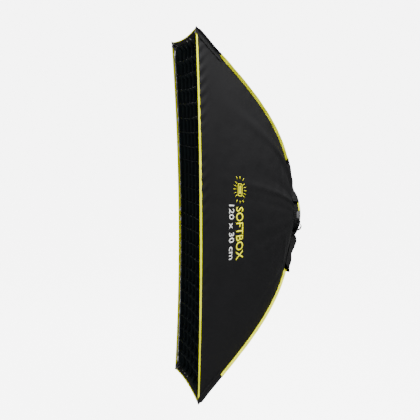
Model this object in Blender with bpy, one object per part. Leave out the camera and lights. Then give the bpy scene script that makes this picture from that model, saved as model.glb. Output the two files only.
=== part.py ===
"""Strip softbox, 300 x 1200 mm, on a rotating speed ring with an S-type bayonet.

Frame: +Z runs along the box's length, -Y is the way the light leaves, +Y points to the lamp head.
The origin is the centre of the bayonet plate's seating face. Everything is in metres.

The fabric box hangs on four curved seams, one over each rod, from the neck to the rim's corners.
A panel is a Coons patch between two seams, an arc of the neck and one side of the rim, and all that
is fitted inside the box lies on cross-sections of the same four panels.
"""
from math import cos, pi, radians, sin

import bmesh
import bpy
import numpy as np
from mathutils import Matrix, Vector

# ---------------------------------------------------------------- driving dimensions
FIT_GAP = 0.0003            # least clearance between pieces that touch
RING_SIDES = 48             # facets of the large rings
TUBE_SIDES = 12             # and of sockets, ferrules and caps

BOX_WIDTH = 0.300           # rim, corner to corner
BOX_HEIGHT = 1.200
BOX_DEPTH = 0.395           # rim corners to the bayonet's seating face
SIDE_BOW_IN = 0.016         # how far the fabric pulls the long rim sides in at their middle
SIDE_BOW_BACK = 0.015
END_BOW_IN = 0.0105         # and the short ones
END_BOW_BACK = 0.003
CLOTH = 0.0010              # panel thickness, nylon with its silver lining

PLATE_BORE = 0.0625         # bayonet plate, radius of its bore; the other radii follow from it
PLATE_THICK = 0.004
COLLAR_RADIUS = PLATE_BORE + 0.004
COLLAR_LENGTH = 0.010
LUG_RADIUS = COLLAR_RADIUS + 0.006
LUG_THICK = 0.002
LUG_WIDTH = 0.026
LUG_SETBACK = 0.0004        # lugs end just short of the collar's rear face
HUB_RADIUS = PLATE_BORE + 0.0075
PLATE_FLANGE = HUB_RADIUS + 0.006
RUNNING_GAP = 0.0003
KEEPER_RADIUS = HUB_RADIUS + 0.003
KEEPER_THICK = 0.0025
SCREW_RADIUS = 0.0014
SCREW_HOLE = SCREW_RADIUS + 0.0004
SCREW_HEAD = 0.0028
SCREW_HEAD_THICK = 0.0016
SCREW_LENGTH = 0.008

RING_RADIUS = HUB_RADIUS + 0.015     # speed ring
RING_THICK = 0.018
RING_CHAMFER = 0.0015
RING_FRONT = -(PLATE_THICK + RUNNING_GAP + RING_THICK)

BAND_IN = 0.0006            # neck band, clear of the speed ring that it goes round
BAND_THICK = 0.0012
BAND_FRONT = RING_FRONT - 0.0047
BAND_REAR = -0.0030
NECK_RADIUS = RING_RADIUS + 0.003    # rear opening of the fabric
NECK_Y = BAND_FRONT - 0.001
SEAM_ANGLE = radians(30)    # where a seam meets the neck, from the box's long axis
SEAM_REAR_TILT = radians(3)      # seam to the plane of the ring, at the neck
SEAM_FRONT_TILT = radians(44)    # and at the rim's corner
SEAM_REAR_PULL = 0.243      # lengths of the seam curve's two handles
SEAM_FRONT_PULL = 0.190
SEAM_GAP = 0.0016           # a panel's edge to the seam line
SLIT = 0.009                # a panel's edge to the seam line, under an access flap
SLIT_SHORT = 0.015          # how far the slit stops short of its flap's end
SLIT_TAPER = 0.010          # length over which the slit closes

KNOB_SHAFT = 0.0036
KNOB_HOLE = KNOB_SHAFT + 0.0006
KNOB_RADIUS = 0.0092
KNOB_LOBE = 0.0008
KNOB_LOBES = 6
KNOB_LENGTH = 0.013
KNOB_CHAMFER = 0.002
KNOB_CLEAR = 0.004          # travel left between the knob's head and the neck's hem
PAD_LENGTH = 0.004

ROD_RADIUS = 0.004
ROD_POINTS = 21
CUP_BORE = ROD_RADIUS + 0.0007       # bore of a ferrule or a cap, round the rod
FERRULE_PIN = 0.0039
FERRULE_RADIUS = CUP_BORE + 0.0009
FERRULE_CUP = 0.018
FERRULE_FLOOR = 0.002
CAP_RADIUS = CUP_BORE + 0.0011
CAP_LENGTH = 0.026
CAP_FLOOR = 0.003
CAP_CHAMFER = 0.002
CAP_TO_CORNER = 0.010
ROD_SINK = CAP_RADIUS + 0.0047       # rod's centre line under the seam
SOCKET_BORE = FERRULE_PIN + 0.0004
SOCKET_RADIUS = max(SOCKET_BORE + 0.0023, FERRULE_RADIUS)
SOCKET_BACK = 0.014         # socket's two ends, from where the rod's line passes the neck
SOCKET_FRONT = 0.008
SOCKET_FLOOR = 0.002
FOOT_LENGTH = 0.008
FOOT_WIDTH = 0.009
FOOT_SETBACK = 0.0005       # from the socket's rear end

RIM_TAPE_WIDTH = 0.011      # folded binding tape, round the rim
SEAM_TAPE_WIDTH = 0.009     # and on the seams
TAPE_THICK = 0.0024
RIM_GAP = 0.0012            # a panel's front edge to the rim tape
TAPE_LIFT = 0.0005          # seam tape's root above the seam
TAPE_BREAK = 0.002          # seam tape's ends to the flap and the pocket
RIM_TAPE_START = 0.018      # from the corner
POCKET_LENGTH = 0.100       # corner pocket along the seam
POCKET_LEG = 0.016
POCKET_THICK = 0.0012
POCKET_GAP = 0.0005
POCKET_CROWN = 0.006        # how far it stands off the seam, over the folded seam allowance
FLAP_START = 0.012          # access flap along the seam
FLAP_END = 0.125
FLAP_LEG_LONG = 0.032       # over the long panel, where it is sewn on
FLAP_LEG_SHORT = 0.026
FLAP_GAP = 0.0012
FLAP_THICK = 0.0012
FLAP_CROWN = 0.007          # how far it stands off the seam, over the rod's end

GRID_FRONT = 0.009          # depths behind the rim's corners
GRID_REAR = 0.049
DIFFUSER_FRONT = 0.054
DIFFUSER_REAR = 0.074
DIFFUSER_SHEET = 0.057
TAPE_FRONT = 0.013
TAPE_REAR = 0.033
BAFFLE_DEPTH = 0.180
HOOK_IN = (CLOTH + 0.0014, CLOTH + 0.0022)       # hook tape, distances in from a panel's outer face
BORDER_IN = (HOOK_IN[1] + 0.0008, HOOK_IN[1] + 0.0020)       # borders of the grid and of the diffuser
SHEET_IN = BORDER_IN[1] + 0.0014
BAFFLE_IN = SHEET_IN + 0.0054
CORNER_CUT = 0.028          # keeps what is fitted inside clear of the rods
SHEET_THICK = 0.0006
GRID_COLUMNS = 6
GRID_ROWS = 24
GRID_WALL = 0.0009
TAB_PLACE = 0.12            # baffle tabs, share of the baffle's length in from its ends
TAB_WIDTH = 0.025
TAB_IN = CLOTH + 0.0016

BAND_HOLE = KNOB_HOLE + 0.0020
HEM_WIDTH = 0.0065
HEM_OVERHANG = 0.0008       # past the neck band's rear edge
HEM_THICK = 0.0014
LOOP_ANGLE = radians(117)   # webbing loop on the neck
LOOP_SPAN = 0.018
LOOP_HEIGHT = 0.009
LOOP_WIDTH = 0.008
LOOP_THICK = 0.0015
LOOP_SETBACK = 0.002        # from the neck band's front edge

BLACK = (0.012, 0.012, 0.013)
YELLOW = (0.85, 0.78, 0.03)
CORNERS = {"top_right": (1, 1), "top_left": (-1, 1), "bottom_right": (1, -1), "bottom_left": (-1, -1)}
SIDES = {"right": (1, 1), "left": (-1, 1), "top": (1, 1), "bottom": (1, -1)}


# ---------------------------------------------------------------- the box's surfaces
def unit(vector):
    return vector / np.linalg.norm(vector)


def neck_point(angle):
    """A point of the fabric's round rear opening; the angle runs from +Z to +X."""
    return np.array([NECK_RADIUS * sin(angle), NECK_Y, NECK_RADIUS * cos(angle)])


def seam_point(t):
    """The seam over the top right rod: a cubic Bezier from the neck, t = 0, to the corner, t = 1."""
    rear = neck_point(SEAM_ANGLE)
    front = np.array([BOX_WIDTH / 2, -BOX_DEPTH, BOX_HEIGHT / 2])
    spread = unit((front - rear) * (1, 0, 1))
    leave = spread * cos(SEAM_REAR_TILT) - np.array([0, sin(SEAM_REAR_TILT), 0])
    arrive = spread * cos(SEAM_FRONT_TILT) - np.array([0, sin(SEAM_FRONT_TILT), 0])
    handle_1 = rear + SEAM_REAR_PULL * leave
    handle_2 = front - SEAM_FRONT_PULL * arrive
    k = 1 - t
    return k**3 * rear + 3 * k * k * t * handle_1 + 3 * k * t * t * handle_2 + t**3 * front


def panel_point(side, s, t):
    """Outer face of a panel: s runs from one seam to the other, t from the neck to the rim."""
    seam = seam_point(t)
    bulge = 4 * s * (1 - s)
    if side in ("right", "left"):
        start, end = seam * (1, 1, -1), seam
        angle = pi - SEAM_ANGLE - s * (pi - 2 * SEAM_ANGLE)
        bow = np.array([-SIDE_BOW_IN, SIDE_BOW_BACK, 0]) * bulge
        arc_start = neck_point(pi - SEAM_ANGLE)
    else:
        start, end = seam * (-1, 1, 1), seam
        angle = SEAM_ANGLE * (2 * s - 1)
        bow = np.array([0, END_BOW_BACK, -END_BOW_IN]) * bulge
        arc_start = neck_point(-SEAM_ANGLE)
    arc = neck_point(angle) - arc_start - s * (neck_point(SEAM_ANGLE) - arc_start)
    point = start + s * (end - start) + (1 - t) * arc + t * bow
    sign_x, sign_z = SIDES[side]
    return point * (sign_x, 1, sign_z)


def panel_normal(side, s, t, step=0.001):
    """Outward normal of a panel, from differences along s and t."""
    s0, s1 = max(s - step, 0), min(s + step, 1)
    t0, t1 = max(t - step, 0), min(t + step, 1)
    along_s = panel_point(side, s1, t) - panel_point(side, s0, t)
    along_t = panel_point(side, s, t1) - panel_point(side, s, t0)
    normal = unit(np.cross(along_s, along_t))
    outward = {"right": (1, 0.3, 0), "left": (-1, 0.3, 0), "top": (0, 1, 1), "bottom": (0, 1, -1)}[side]
    return normal if normal @ np.array(outward) > 0 else -normal


def side_length(side, t):
    return float(np.linalg.norm(panel_point(side, 1, t) - panel_point(side, 0, t)))


def section_point(t, u, v):
    """A surface across the box at station t, a Coons patch of the four panels' curves there."""
    sides = (1 - u) * panel_point("left", v, t) + u * panel_point("right", v, t)
    ends = (1 - v) * panel_point("bottom", u, t) + v * panel_point("top", u, t)
    seam = seam_point(t)
    corners = np.array([(2 * u - 1) * seam[0], seam[1], (2 * v - 1) * seam[2]])
    return sides + ends - corners


def station(depth):
    """The t at which the seams are this far behind the rim's corners, by bisection."""
    low, high = 0.0, 1.0
    for _ in range(40):
        middle = (low + high) / 2
        if seam_point(middle)[1] + BOX_DEPTH > depth:
            low = middle
        else:
            high = middle
    return low


def inset(t, distance):
    """Shares of the section's width and height that lie within this distance of the panels."""
    slope_x = min(panel_normal("right", s, t)[0] for s in (0.1, 0.5))
    slope_z = min(panel_normal("top", s, t)[2] for s in (0.1, 0.5))
    return (distance / slope_x / side_length("top", t), distance / slope_z / side_length("right", t))


def ridge_frame(t):
    """Seam point, its tangent and the outward direction between its two panels."""
    step = 0.002
    tangent = unit(seam_point(min(t + step, 1)) - seam_point(max(t - step, 0)))
    out = panel_normal("right", 1, t) + panel_normal("top", 1, t)
    return seam_point(t), tangent, unit(out - tangent * (out @ tangent))


def rod_point(t):
    point, _, out = ridge_frame(t)
    return point - ROD_SINK * out


def lengths(curve, count=400):
    """Table of t and of the length along a curve of t, from 0 to 1."""
    table = np.linspace(0, 1, count)
    points = np.array([curve(t) for t in table])
    steps = np.linalg.norm(np.diff(points, axis=0), axis=1)
    return table, np.concatenate([[0], np.cumsum(steps)])


SEAM_T, SEAM_RUN = lengths(seam_point)
ROD_T, ROD_RUN = lengths(rod_point)


def seam_at(length):
    return float(np.interp(length, SEAM_RUN, SEAM_T))


def rod_at(length):
    return rod_point(float(np.interp(length, ROD_RUN, ROD_T)))


# ---------------------------------------------------------------- making objects
def material(name, color, roughness, metallic=0.0):
    found = bpy.data.materials.get(name)
    if found:
        return found
    made = bpy.data.materials.new(name)
    made.use_nodes = True
    shader = made.node_tree.nodes["Principled BSDF"]
    shader.inputs["Base Color"].default_value = (*color, 1)
    shader.inputs["Roughness"].default_value = roughness
    shader.inputs["Metallic"].default_value = metallic
    return made


def add_object(name, verts, faces, look, smooth_angle=None):
    mesh = bpy.data.meshes.new(name)
    mesh.from_pydata([tuple(map(float, v)) for v in verts], [], faces)
    shape = bmesh.new()
    shape.from_mesh(mesh)
    bmesh.ops.recalc_face_normals(shape, faces=shape.faces)
    shape.to_mesh(mesh)
    shape.free()
    if smooth_angle is not None:
        mesh.shade_smooth()
        mesh.set_sharp_from_angle(angle=smooth_angle)
    thing = bpy.data.objects.new(name, mesh)
    thing.data.materials.append(look)
    bpy.context.scene.collection.objects.link(thing)
    return thing


def loft(name, rings, look, closed=False, smooth_angle=None):
    """Skin over rings with the same number of points; closed joins the last ring to the first."""
    size = len(rings[0])
    verts = [p for ring in rings for p in ring]
    faces = []
    for i in range(len(rings) if closed else len(rings) - 1):
        a, b = i * size, (i + 1) % len(rings) * size
        faces += [(a + k, a + (k + 1) % size, b + (k + 1) % size, b + k) for k in range(size)]
    if not closed:
        faces += [tuple(range(size)), tuple(range(len(verts) - size, len(verts)))]
    return add_object(name, verts, faces, look, smooth_angle)


def turned(name, profile, look, segments=24, smooth_angle=radians(35)):
    """Turned about local Z from a closed profile of (radius, height); radius 0 becomes a pole."""
    verts, rows = [], []
    for radius, height in profile:
        if radius == 0:
            rows.append([len(verts)] * segments)
            verts.append((0, 0, height))
            continue
        rows.append([len(verts) + k for k in range(segments)])
        angles = [2 * pi * k / segments for k in range(segments)]
        verts += [(radius * cos(a), radius * sin(a), height) for a in angles]
    faces = []
    for i in range(len(rows)):
        row, following = rows[i], rows[(i + 1) % len(rows)]
        for k in range(segments):
            j = (k + 1) % segments
            corners = list(dict.fromkeys((row[k], row[j], following[j], following[k])))
            if len(corners) > 2:
                faces.append(tuple(corners))
    return add_object(name, verts, faces, look, smooth_angle)


def aim(thing, place, direction):
    """Stand an object's local Z along a direction at a place."""
    turn = Vector(direction).to_track_quat("Z", "Y").to_matrix().to_4x4()
    thing.matrix_world = Matrix.Translation(Vector(place)) @ turn


def about_lamp_axis(thing):
    """Turn an object made about local Z so that its Z runs along +Y."""
    aim(thing, (0, 0, 0), (0, 1, 0))


def cutter(name, radius, start, end, segments=12):
    start, end = np.array(start, float), np.array(end, float)
    length = float(np.linalg.norm(end - start))
    tool = turned(name, [(0, 0), (radius, 0), (radius, length), (0, length)],
                  material("cutter", (1, 0, 0), 0.5), segments)
    aim(tool, start, end - start)
    tool.hide_render = True
    tool.display_type = "WIRE"
    return tool


def combine(thing, tool, operation):
    change = thing.modifiers.new(operation.lower() + "_" + tool.name, "BOOLEAN")
    change.operation = operation
    change.solver = "EXACT"
    change.object = tool


def shell(name, side, s_range, t_values, s_count, look):
    """A cloth panel: its outer face, and its inner one CLOTH below, over a grid of s and t."""
    outer, inner = [], []
    for t in t_values:
        low, high = s_range(t)
        for s in np.linspace(low, high, s_count + 1):
            point = panel_point(side, s, t)
            outer.append(point)
            inner.append(point - CLOTH * panel_normal(side, s, t))
    across, along = s_count + 1, len(t_values)
    total = len(outer)
    faces = []
    for i in range(along - 1):
        for k in range(s_count):
            quad = (i * across + k, i * across + k + 1, (i + 1) * across + k + 1, (i + 1) * across + k)
            faces.append(quad)
            faces.append(tuple(total + v for v in reversed(quad)))
    edge = [k for k in range(across)]
    edge += [(i + 1) * across - 1 for i in range(1, along)]
    edge += [(along - 1) * across + k for k in range(across - 2, -1, -1)]
    edge += [i * across for i in range(along - 2, 0, -1)]
    for a, b in zip(edge, edge[1:] + edge[:1]):
        faces.append((a, b, total + b, total + a))
    return add_object(name, outer + inner, faces, look, radians(60))


# ---------------------------------------------------------------- bayonet plate, on the lamp
def bayonet_plate():
    hub_front = -(PLATE_THICK + RING_THICK + 2 * RUNNING_GAP)
    steel = material("bayonet_steel", (0.55, 0.55, 0.56), 0.35, 1.0)
    profile = [(PLATE_BORE, hub_front), (HUB_RADIUS, hub_front), (HUB_RADIUS, -PLATE_THICK),
               (PLATE_FLANGE, -PLATE_THICK), (PLATE_FLANGE, 0), (COLLAR_RADIUS, 0),
               (COLLAR_RADIUS, COLLAR_LENGTH), (PLATE_BORE, COLLAR_LENGTH)]
    plate = turned("bayonet_plate", profile, steel, RING_SIDES)
    about_lamp_axis(plate)
    reach = LUG_WIDTH / 2 / LUG_RADIUS
    root = (PLATE_BORE + COLLAR_RADIUS) / 2
    for number in range(3):
        middle = number * 2 * pi / 3
        angles = np.linspace(middle - reach, middle + reach, 7)
        rings = []
        for a in angles:
            ray = np.array([sin(a), 0, cos(a)])
            rear = COLLAR_LENGTH - LUG_SETBACK
            ends = [(root, rear - LUG_THICK), (LUG_RADIUS, rear - LUG_THICK), (LUG_RADIUS, rear), (root, rear)]
            rings.append([ray * r + np.array([0, y, 0]) for r, y in ends])
        lug = loft(f"lug_tool_{number}", rings, steel)
        lug.hide_render = True
        lug.display_type = "WIRE"
        combine(plate, lug, "UNION")
    keeper_look = material("keeper_steel", (0.30, 0.30, 0.31), 0.4, 1.0)
    keeper_rear = hub_front - FIT_GAP
    keeper_front = keeper_rear - KEEPER_THICK
    keeper = turned("keeper_ring", [(PLATE_BORE, keeper_front), (KEEPER_RADIUS, keeper_front),
                                    (KEEPER_RADIUS, keeper_rear), (PLATE_BORE, keeper_rear)], keeper_look,
                    RING_SIDES)
    about_lamp_axis(keeper)
    pitch_radius = (PLATE_BORE + HUB_RADIUS) / 2
    screw_look = material("screw_steel", (0.6, 0.6, 0.6), 0.3, 1.0)
    for number in range(4):
        angle = radians(45 + 90 * number)
        place = np.array([pitch_radius * sin(angle), 0, pitch_radius * cos(angle)])
        hole_end = keeper_front + SCREW_LENGTH + 0.002
        hole = cutter(f"screw_hole_{number}", SCREW_HOLE, place + (0, keeper_front - 0.002, 0),
                      place + (0, hole_end, 0))
        combine(plate, hole, "DIFFERENCE")
        combine(keeper, hole, "DIFFERENCE")
        top = SCREW_HEAD_THICK + FIT_GAP
        screw = turned(f"keeper_screw_{number + 1}",
                       [(0, -top), (SCREW_HEAD * 0.8, -top), (SCREW_HEAD, -top + 0.0005), (SCREW_HEAD, -FIT_GAP),
                        (SCREW_RADIUS, -FIT_GAP), (SCREW_RADIUS, SCREW_LENGTH), (0, SCREW_LENGTH)],
                       screw_look, 12)
        aim(screw, place + (0, keeper_front, 0), (0, 1, 0))


# ---------------------------------------------------------------- speed ring and lock
def speed_ring():
    front, rear = RING_FRONT, RING_FRONT + RING_THICK
    inner = HUB_RADIUS + RUNNING_GAP
    look = material("ring_alloy", (0.05, 0.05, 0.052), 0.45, 0.6)
    profile = [(inner, front), (RING_RADIUS - RING_CHAMFER, front), (RING_RADIUS, front + RING_CHAMFER),
               (RING_RADIUS, rear - RING_CHAMFER), (RING_RADIUS - RING_CHAMFER, rear), (inner, rear)]
    ring = turned("speed_ring", profile, look, RING_SIDES)
    about_lamp_axis(ring)
    middle = (front + rear) / 2
    hole = cutter("knob_hole", KNOB_HOLE, (-inner + 0.004, middle, 0), (-RING_RADIUS - 0.004, middle, 0), 16)
    combine(ring, hole, "DIFFERENCE")
    return middle


def lock(middle):
    """Friction pad and thumb screw, both along -X with their origin on the screw's axis."""
    pad_start = HUB_RADIUS + 2 * FIT_GAP
    pad = turned("lock_pad", [(0, 0), (KNOB_SHAFT, 0), (KNOB_SHAFT, PAD_LENGTH), (0, PAD_LENGTH)],
                 material("pad_nylon", (0.7, 0.7, 0.68), 0.5), 16)
    aim(pad, (-pad_start, middle, 0), (-1, 0, 0))
    band_outer = RING_RADIUS + BAND_IN + BAND_THICK
    shaft_start = PAD_LENGTH + FIT_GAP
    head_start = band_outer + HEM_THICK + KNOB_CLEAR - pad_start
    stages = [(shaft_start, KNOB_SHAFT, 0), (head_start, KNOB_SHAFT, 0), (head_start, KNOB_RADIUS * 0.6, 0),
              (head_start + KNOB_CHAMFER, KNOB_RADIUS, KNOB_LOBE),
              (head_start + KNOB_LENGTH - KNOB_CHAMFER, KNOB_RADIUS, KNOB_LOBE),
              (head_start + KNOB_LENGTH, KNOB_RADIUS * 0.8, KNOB_LOBE)]
    rings = []
    for height, radius, lobe in stages:
        angles = [2 * pi * k / 36 for k in range(36)]
        rings.append([((radius + lobe * cos(KNOB_LOBES * a)) * cos(a),
                       (radius + lobe * cos(KNOB_LOBES * a)) * sin(a), height) for a in angles])
    knob = loft("lock_knob", rings, material("knob_plastic", (0.02, 0.02, 0.02), 0.4), smooth_angle=radians(35))
    aim(knob, (-pad_start, middle, 0), (-1, 0, 0))


# ---------------------------------------------------------------- rods
def rods():
    total = float(ROD_RUN[-1])
    rear_end = SOCKET_FRONT + FIT_GAP + FERRULE_CUP
    rear = rod_at(0)
    rear_axis = unit(rod_at(rear_end) - rear)
    front_end = total - CAP_TO_CORNER
    front = rod_at(front_end)
    front_axis = unit(front - rod_at(front_end - CAP_LENGTH))
    alloy = material("socket_alloy", (0.35, 0.35, 0.36), 0.4, 1.0)
    steel = material("ferrule_steel", (0.5, 0.5, 0.5), 0.3, 1.0)
    fibre = material("rod_fibreglass", (0.03, 0.03, 0.03), 0.35)
    plastic = material("cap_plastic", (0.02, 0.02, 0.02), 0.45)
    bore_floor = SOCKET_BACK - SOCKET_FLOOR
    cup_floor = SOCKET_FRONT + FIT_GAP + FERRULE_FLOOR
    for corner, (sign_x, sign_z) in CORNERS.items():
        mirror = np.array([sign_x, 1, sign_z])
        socket = turned(f"rod_socket_{corner}",
                        [(0, -SOCKET_BACK), (SOCKET_RADIUS, -SOCKET_BACK), (SOCKET_RADIUS, SOCKET_FRONT),
                         (SOCKET_BORE, SOCKET_FRONT), (SOCKET_BORE, -bore_floor), (0, -bore_floor)], alloy,
                        TUBE_SIDES)
        aim(socket, rear * mirror, rear_axis * mirror)
        combine(socket, socket_foot(corner, rear * mirror, rear_axis * mirror), "UNION")
        ferrule = turned(f"rod_ferrule_{corner}",
                         [(0, -bore_floor + FIT_GAP), (FERRULE_PIN, -bore_floor + FIT_GAP),
                          (FERRULE_PIN, SOCKET_FRONT + FIT_GAP), (FERRULE_RADIUS, SOCKET_FRONT + FIT_GAP),
                          (FERRULE_RADIUS, rear_end), (CUP_BORE, rear_end), (CUP_BORE, cup_floor), (0, cup_floor)],
                         steel, TUBE_SIDES)
        aim(ferrule, rear * mirror, rear_axis * mirror)
        cap = turned(f"rod_cap_{corner}",
                     [(0, 0), (CAP_RADIUS - CAP_CHAMFER, 0), (CAP_RADIUS, -CAP_CHAMFER), (CAP_RADIUS, -CAP_LENGTH),
                      (CUP_BORE, -CAP_LENGTH), (CUP_BORE, -CAP_FLOOR), (0, -CAP_FLOOR)], plastic, TUBE_SIDES)
        aim(cap, front * mirror, front_axis * mirror)
        start, end = cup_floor + FIT_GAP, front_end - CAP_FLOOR - FIT_GAP
        rod(f"rod_{corner}", [rod_at(x) * mirror for x in np.linspace(start, end, ROD_POINTS)], fibre)


def socket_foot(corner, place, axis):
    """The block that stands a socket on the ring's front face."""
    direction = unit(axis * (1, 0, 1))
    middle = place - axis * (SOCKET_BACK - FOOT_LENGTH / 2 - FOOT_SETBACK)
    along = direction * FOOT_LENGTH / 2
    across = np.array([direction[2], 0, -direction[0]]) * FOOT_WIDTH / 2
    seat, buried = RING_FRONT - FIT_GAP, place[1] + (SOCKET_RADIUS + SOCKET_BORE) / 2
    rings = []
    for y in (seat, buried):
        level = middle * (1, 0, 1) + np.array([0, y, 0])
        rings.append([level - along - across, level + along - across, level + along + across,
                      level - along + across])
    foot = loft(f"foot_tool_{corner}", rings, material("socket_alloy", (0.35, 0.35, 0.36), 0.4, 1.0))
    foot.hide_render = True
    foot.display_type = "WIRE"
    return foot


def rod(name, points, look):
    curve = bpy.data.curves.new(name, "CURVE")
    curve.dimensions = "3D"
    curve.bevel_depth = ROD_RADIUS
    curve.bevel_resolution = 2
    curve.use_fill_caps = True
    spline = curve.splines.new("POLY")
    spline.points.add(len(points) - 1)
    for point, place in zip(spline.points, points):
        point.co = (*place, 1)
    curve.materials.append(look)
    bpy.context.scene.collection.objects.link(bpy.data.objects.new(name, curve))


# ---------------------------------------------------------------- fabric box
def panels():
    cloth = material("shell_nylon", BLACK, 0.75)
    rim = station(RIM_TAPE_WIDTH + RIM_GAP)
    slit_end = FLAP_END - SLIT_SHORT
    rows = [seam_at(x) for x in np.linspace(0, slit_end, 5)]
    rows += [seam_at(x) for x in np.linspace(slit_end + SLIT_TAPER, SEAM_RUN[-1], 12)[:-1]] + [rim]
    rows = sorted(t for t in rows if t <= rim)

    def edges(side):
        def limits(t):
            run = float(np.interp(t, SEAM_T, SEAM_RUN))
            gap = SLIT if run <= slit_end + 1e-6 else SEAM_GAP
            share = gap / side_length(side, t)
            return share, 1 - share
        return limits

    for side, count in (("right", 8), ("left", 8), ("top", 6), ("bottom", 6)):
        shell(f"panel_{side}", side, edges(side), rows, count, cloth)


def ridge_wrap(name, corner, t_values, legs, gap, thick, crown, look):
    """A strip bent over a seam: a leg on the long panel, one on the short panel, and a fold between.
    The crown lifts the fold off the seam, and falls to nothing at the strip's two ends.
    """
    mirror = np.array([*CORNERS[corner], 0])[[0, 2, 1]] + (0, 1, 0)
    rings = []
    for number, t in enumerate(t_values):
        ridge, _, out = ridge_frame(t)
        fold = 1 / max(out @ panel_normal("right", 1, t), 0.5)
        lift = crown * min(1, 2 * sin(pi * number / (len(t_values) - 1)))
        outer, inner = [], []
        for side, leg in (("right", legs[0]), ("top", legs[1])):
            reach = leg / side_length(side, t)
            for share in (1, 0.5) if side == "right" else (0.5, 1):
                s = 1 - reach * share
                point, normal = panel_point(side, s, t), panel_normal(side, s, t)
                rise = gap + lift * (1 - share)
                outer.append(point + (rise + thick) * normal)
                inner.append(point + rise * normal)
        outer.insert(2, ridge + ((gap + thick) * fold + lift) * out)
        inner.insert(2, ridge + (gap * fold + lift) * out)
        rings.append([p * mirror for p in outer + inner[::-1]])
    return loft(name, rings, look)


def seam_tapes():
    yellow = material("binding_yellow", YELLOW, 0.6)
    total = float(SEAM_RUN[-1])
    t_values = [seam_at(x) for x in np.linspace(FLAP_END + TAPE_BREAK, total - POCKET_LENGTH - TAPE_BREAK, 13)]
    for corner, (sign_x, sign_z) in CORNERS.items():
        mirror = np.array([sign_x, 1, sign_z])
        rings = []
        for t in t_values:
            ridge, tangent, out = ridge_frame(t)
            half = np.cross(tangent, out) * TAPE_THICK / 2
            root, tip = ridge + TAPE_LIFT * out, ridge + (TAPE_LIFT + SEAM_TAPE_WIDTH) * out
            rings.append([p * mirror for p in (root - half, tip - half, tip + half, root + half)])
        loft(f"seam_tape_{corner}", rings, yellow)


def rim_tapes():
    yellow = material("binding_yellow", YELLOW, 0.6)
    rear = station(RIM_TAPE_WIDTH)
    above, below = (TAPE_THICK - CLOTH) / 2, (TAPE_THICK + CLOTH) / 2
    for side, count in (("right", 16), ("left", 16), ("top", 8), ("bottom", 8)):
        start = RIM_TAPE_START / side_length(side, 1)
        rings = []
        for s in np.linspace(start, 1 - start, count + 1):
            rear_point, rear_normal = panel_point(side, s, rear), panel_normal(side, s, rear)
            front_point, front_normal = panel_point(side, s, 1), panel_normal(side, s, 1)
            rings.append([rear_point + above * rear_normal, front_point + above * front_normal,
                          front_point - below * front_normal, rear_point - below * rear_normal])
        loft(f"rim_tape_{side}", rings, yellow)


def corner_pockets():
    cloth = material("pocket_nylon", BLACK, 0.7)
    total = float(SEAM_RUN[-1])
    t_values = [seam_at(x) for x in np.linspace(total - POCKET_LENGTH, total, 5)]
    for corner in CORNERS:
        ridge_wrap(f"corner_pocket_{corner}", corner, t_values, (POCKET_LEG, POCKET_LEG), POCKET_GAP,
                   POCKET_THICK, POCKET_CROWN, cloth)


def access_flaps():
    cloth = material("flap_nylon", BLACK, 0.7)
    t_values = [seam_at(x) for x in np.linspace(FLAP_START, FLAP_END, 7)]
    for corner in CORNERS:
        ridge_wrap(f"access_flap_{corner}", corner, t_values, (FLAP_LEG_LONG, FLAP_LEG_SHORT), FLAP_GAP,
                   FLAP_THICK, FLAP_CROWN, cloth)


# ---------------------------------------------------------------- fitted inside the rim
def loop_shares(t, distance, long_count, short_count):
    """Points u, v round a section with its corners cut off, this distance inside the panels."""
    u0, v0 = inset(t, distance)
    cut_u, cut_v = CORNER_CUT / side_length("top", t), CORNER_CUT / side_length("right", t)
    rise = np.linspace(v0 + cut_v, 1 - v0 - cut_v, long_count + 1)
    cross = np.linspace(1 - u0 - cut_u, u0 + cut_u, short_count + 1)
    loop = [(1 - u0, v) for v in rise] + [(u, 1 - v0) for u in cross]
    loop += [(u0, v) for v in rise[::-1]] + [(u, v0) for u in cross[::-1]]
    return loop


def band(name, front, rear, reach, look):
    """A strip all the way round inside the panels, between two depths and two distances in."""
    long_count, short_count = 12, 4
    corners = []
    for depth, distance in ((front, reach[0]), (front, reach[1]), (rear, reach[1]), (rear, reach[0])):
        t = station(depth)
        corners.append([section_point(t, u, v) for u, v in loop_shares(t, distance, long_count, short_count)])
    return loft(name, [list(ring) for ring in zip(*corners)], look, closed=True)


def sheet(name, depth, distance, look, columns=4, rows=12):
    """A cloth across the box with its corners cut off, SHEET_THICK thick along Y."""
    t = station(depth)
    u0, v0 = inset(t, distance)
    cut_u, cut_v = CORNER_CUT / side_length("top", t), CORNER_CUT / side_length("right", t)
    us = [u0] + list(np.linspace(u0 + cut_u, 1 - u0 - cut_u, columns - 1)) + [1 - u0]
    vs = [v0] + list(np.linspace(v0 + cut_v, 1 - v0 - cut_v, rows - 1)) + [1 - v0]
    index, front = {}, []
    for i, u in enumerate(us):
        for j, v in enumerate(vs):
            if i in (0, columns) and j in (0, rows):
                continue
            index[i, j] = len(front)
            front.append(section_point(t, u, v))
    total = len(front)
    rear = [p + np.array([0, SHEET_THICK, 0]) for p in front]
    faces = []
    for i in range(columns):
        for j in range(rows):
            ring = [(i, j), (i + 1, j), (i + 1, j + 1), (i, j + 1)]
            face = tuple(index[k] for k in ring if k in index)
            faces += [face, tuple(total + v for v in reversed(face))]
    edge = [(i, 0) for i in range(1, columns)] + [(columns, j) for j in range(1, rows)]
    edge += [(i, rows) for i in range(columns - 1, 0, -1)] + [(0, j) for j in range(rows - 1, 0, -1)]
    edge = [index[k] for k in edge]
    for a, b in zip(edge, edge[1:] + edge[:1]):
        faces.append((a, b, total + b, total + a))
    return add_object(name, front + rear, faces, look, radians(60))


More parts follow.
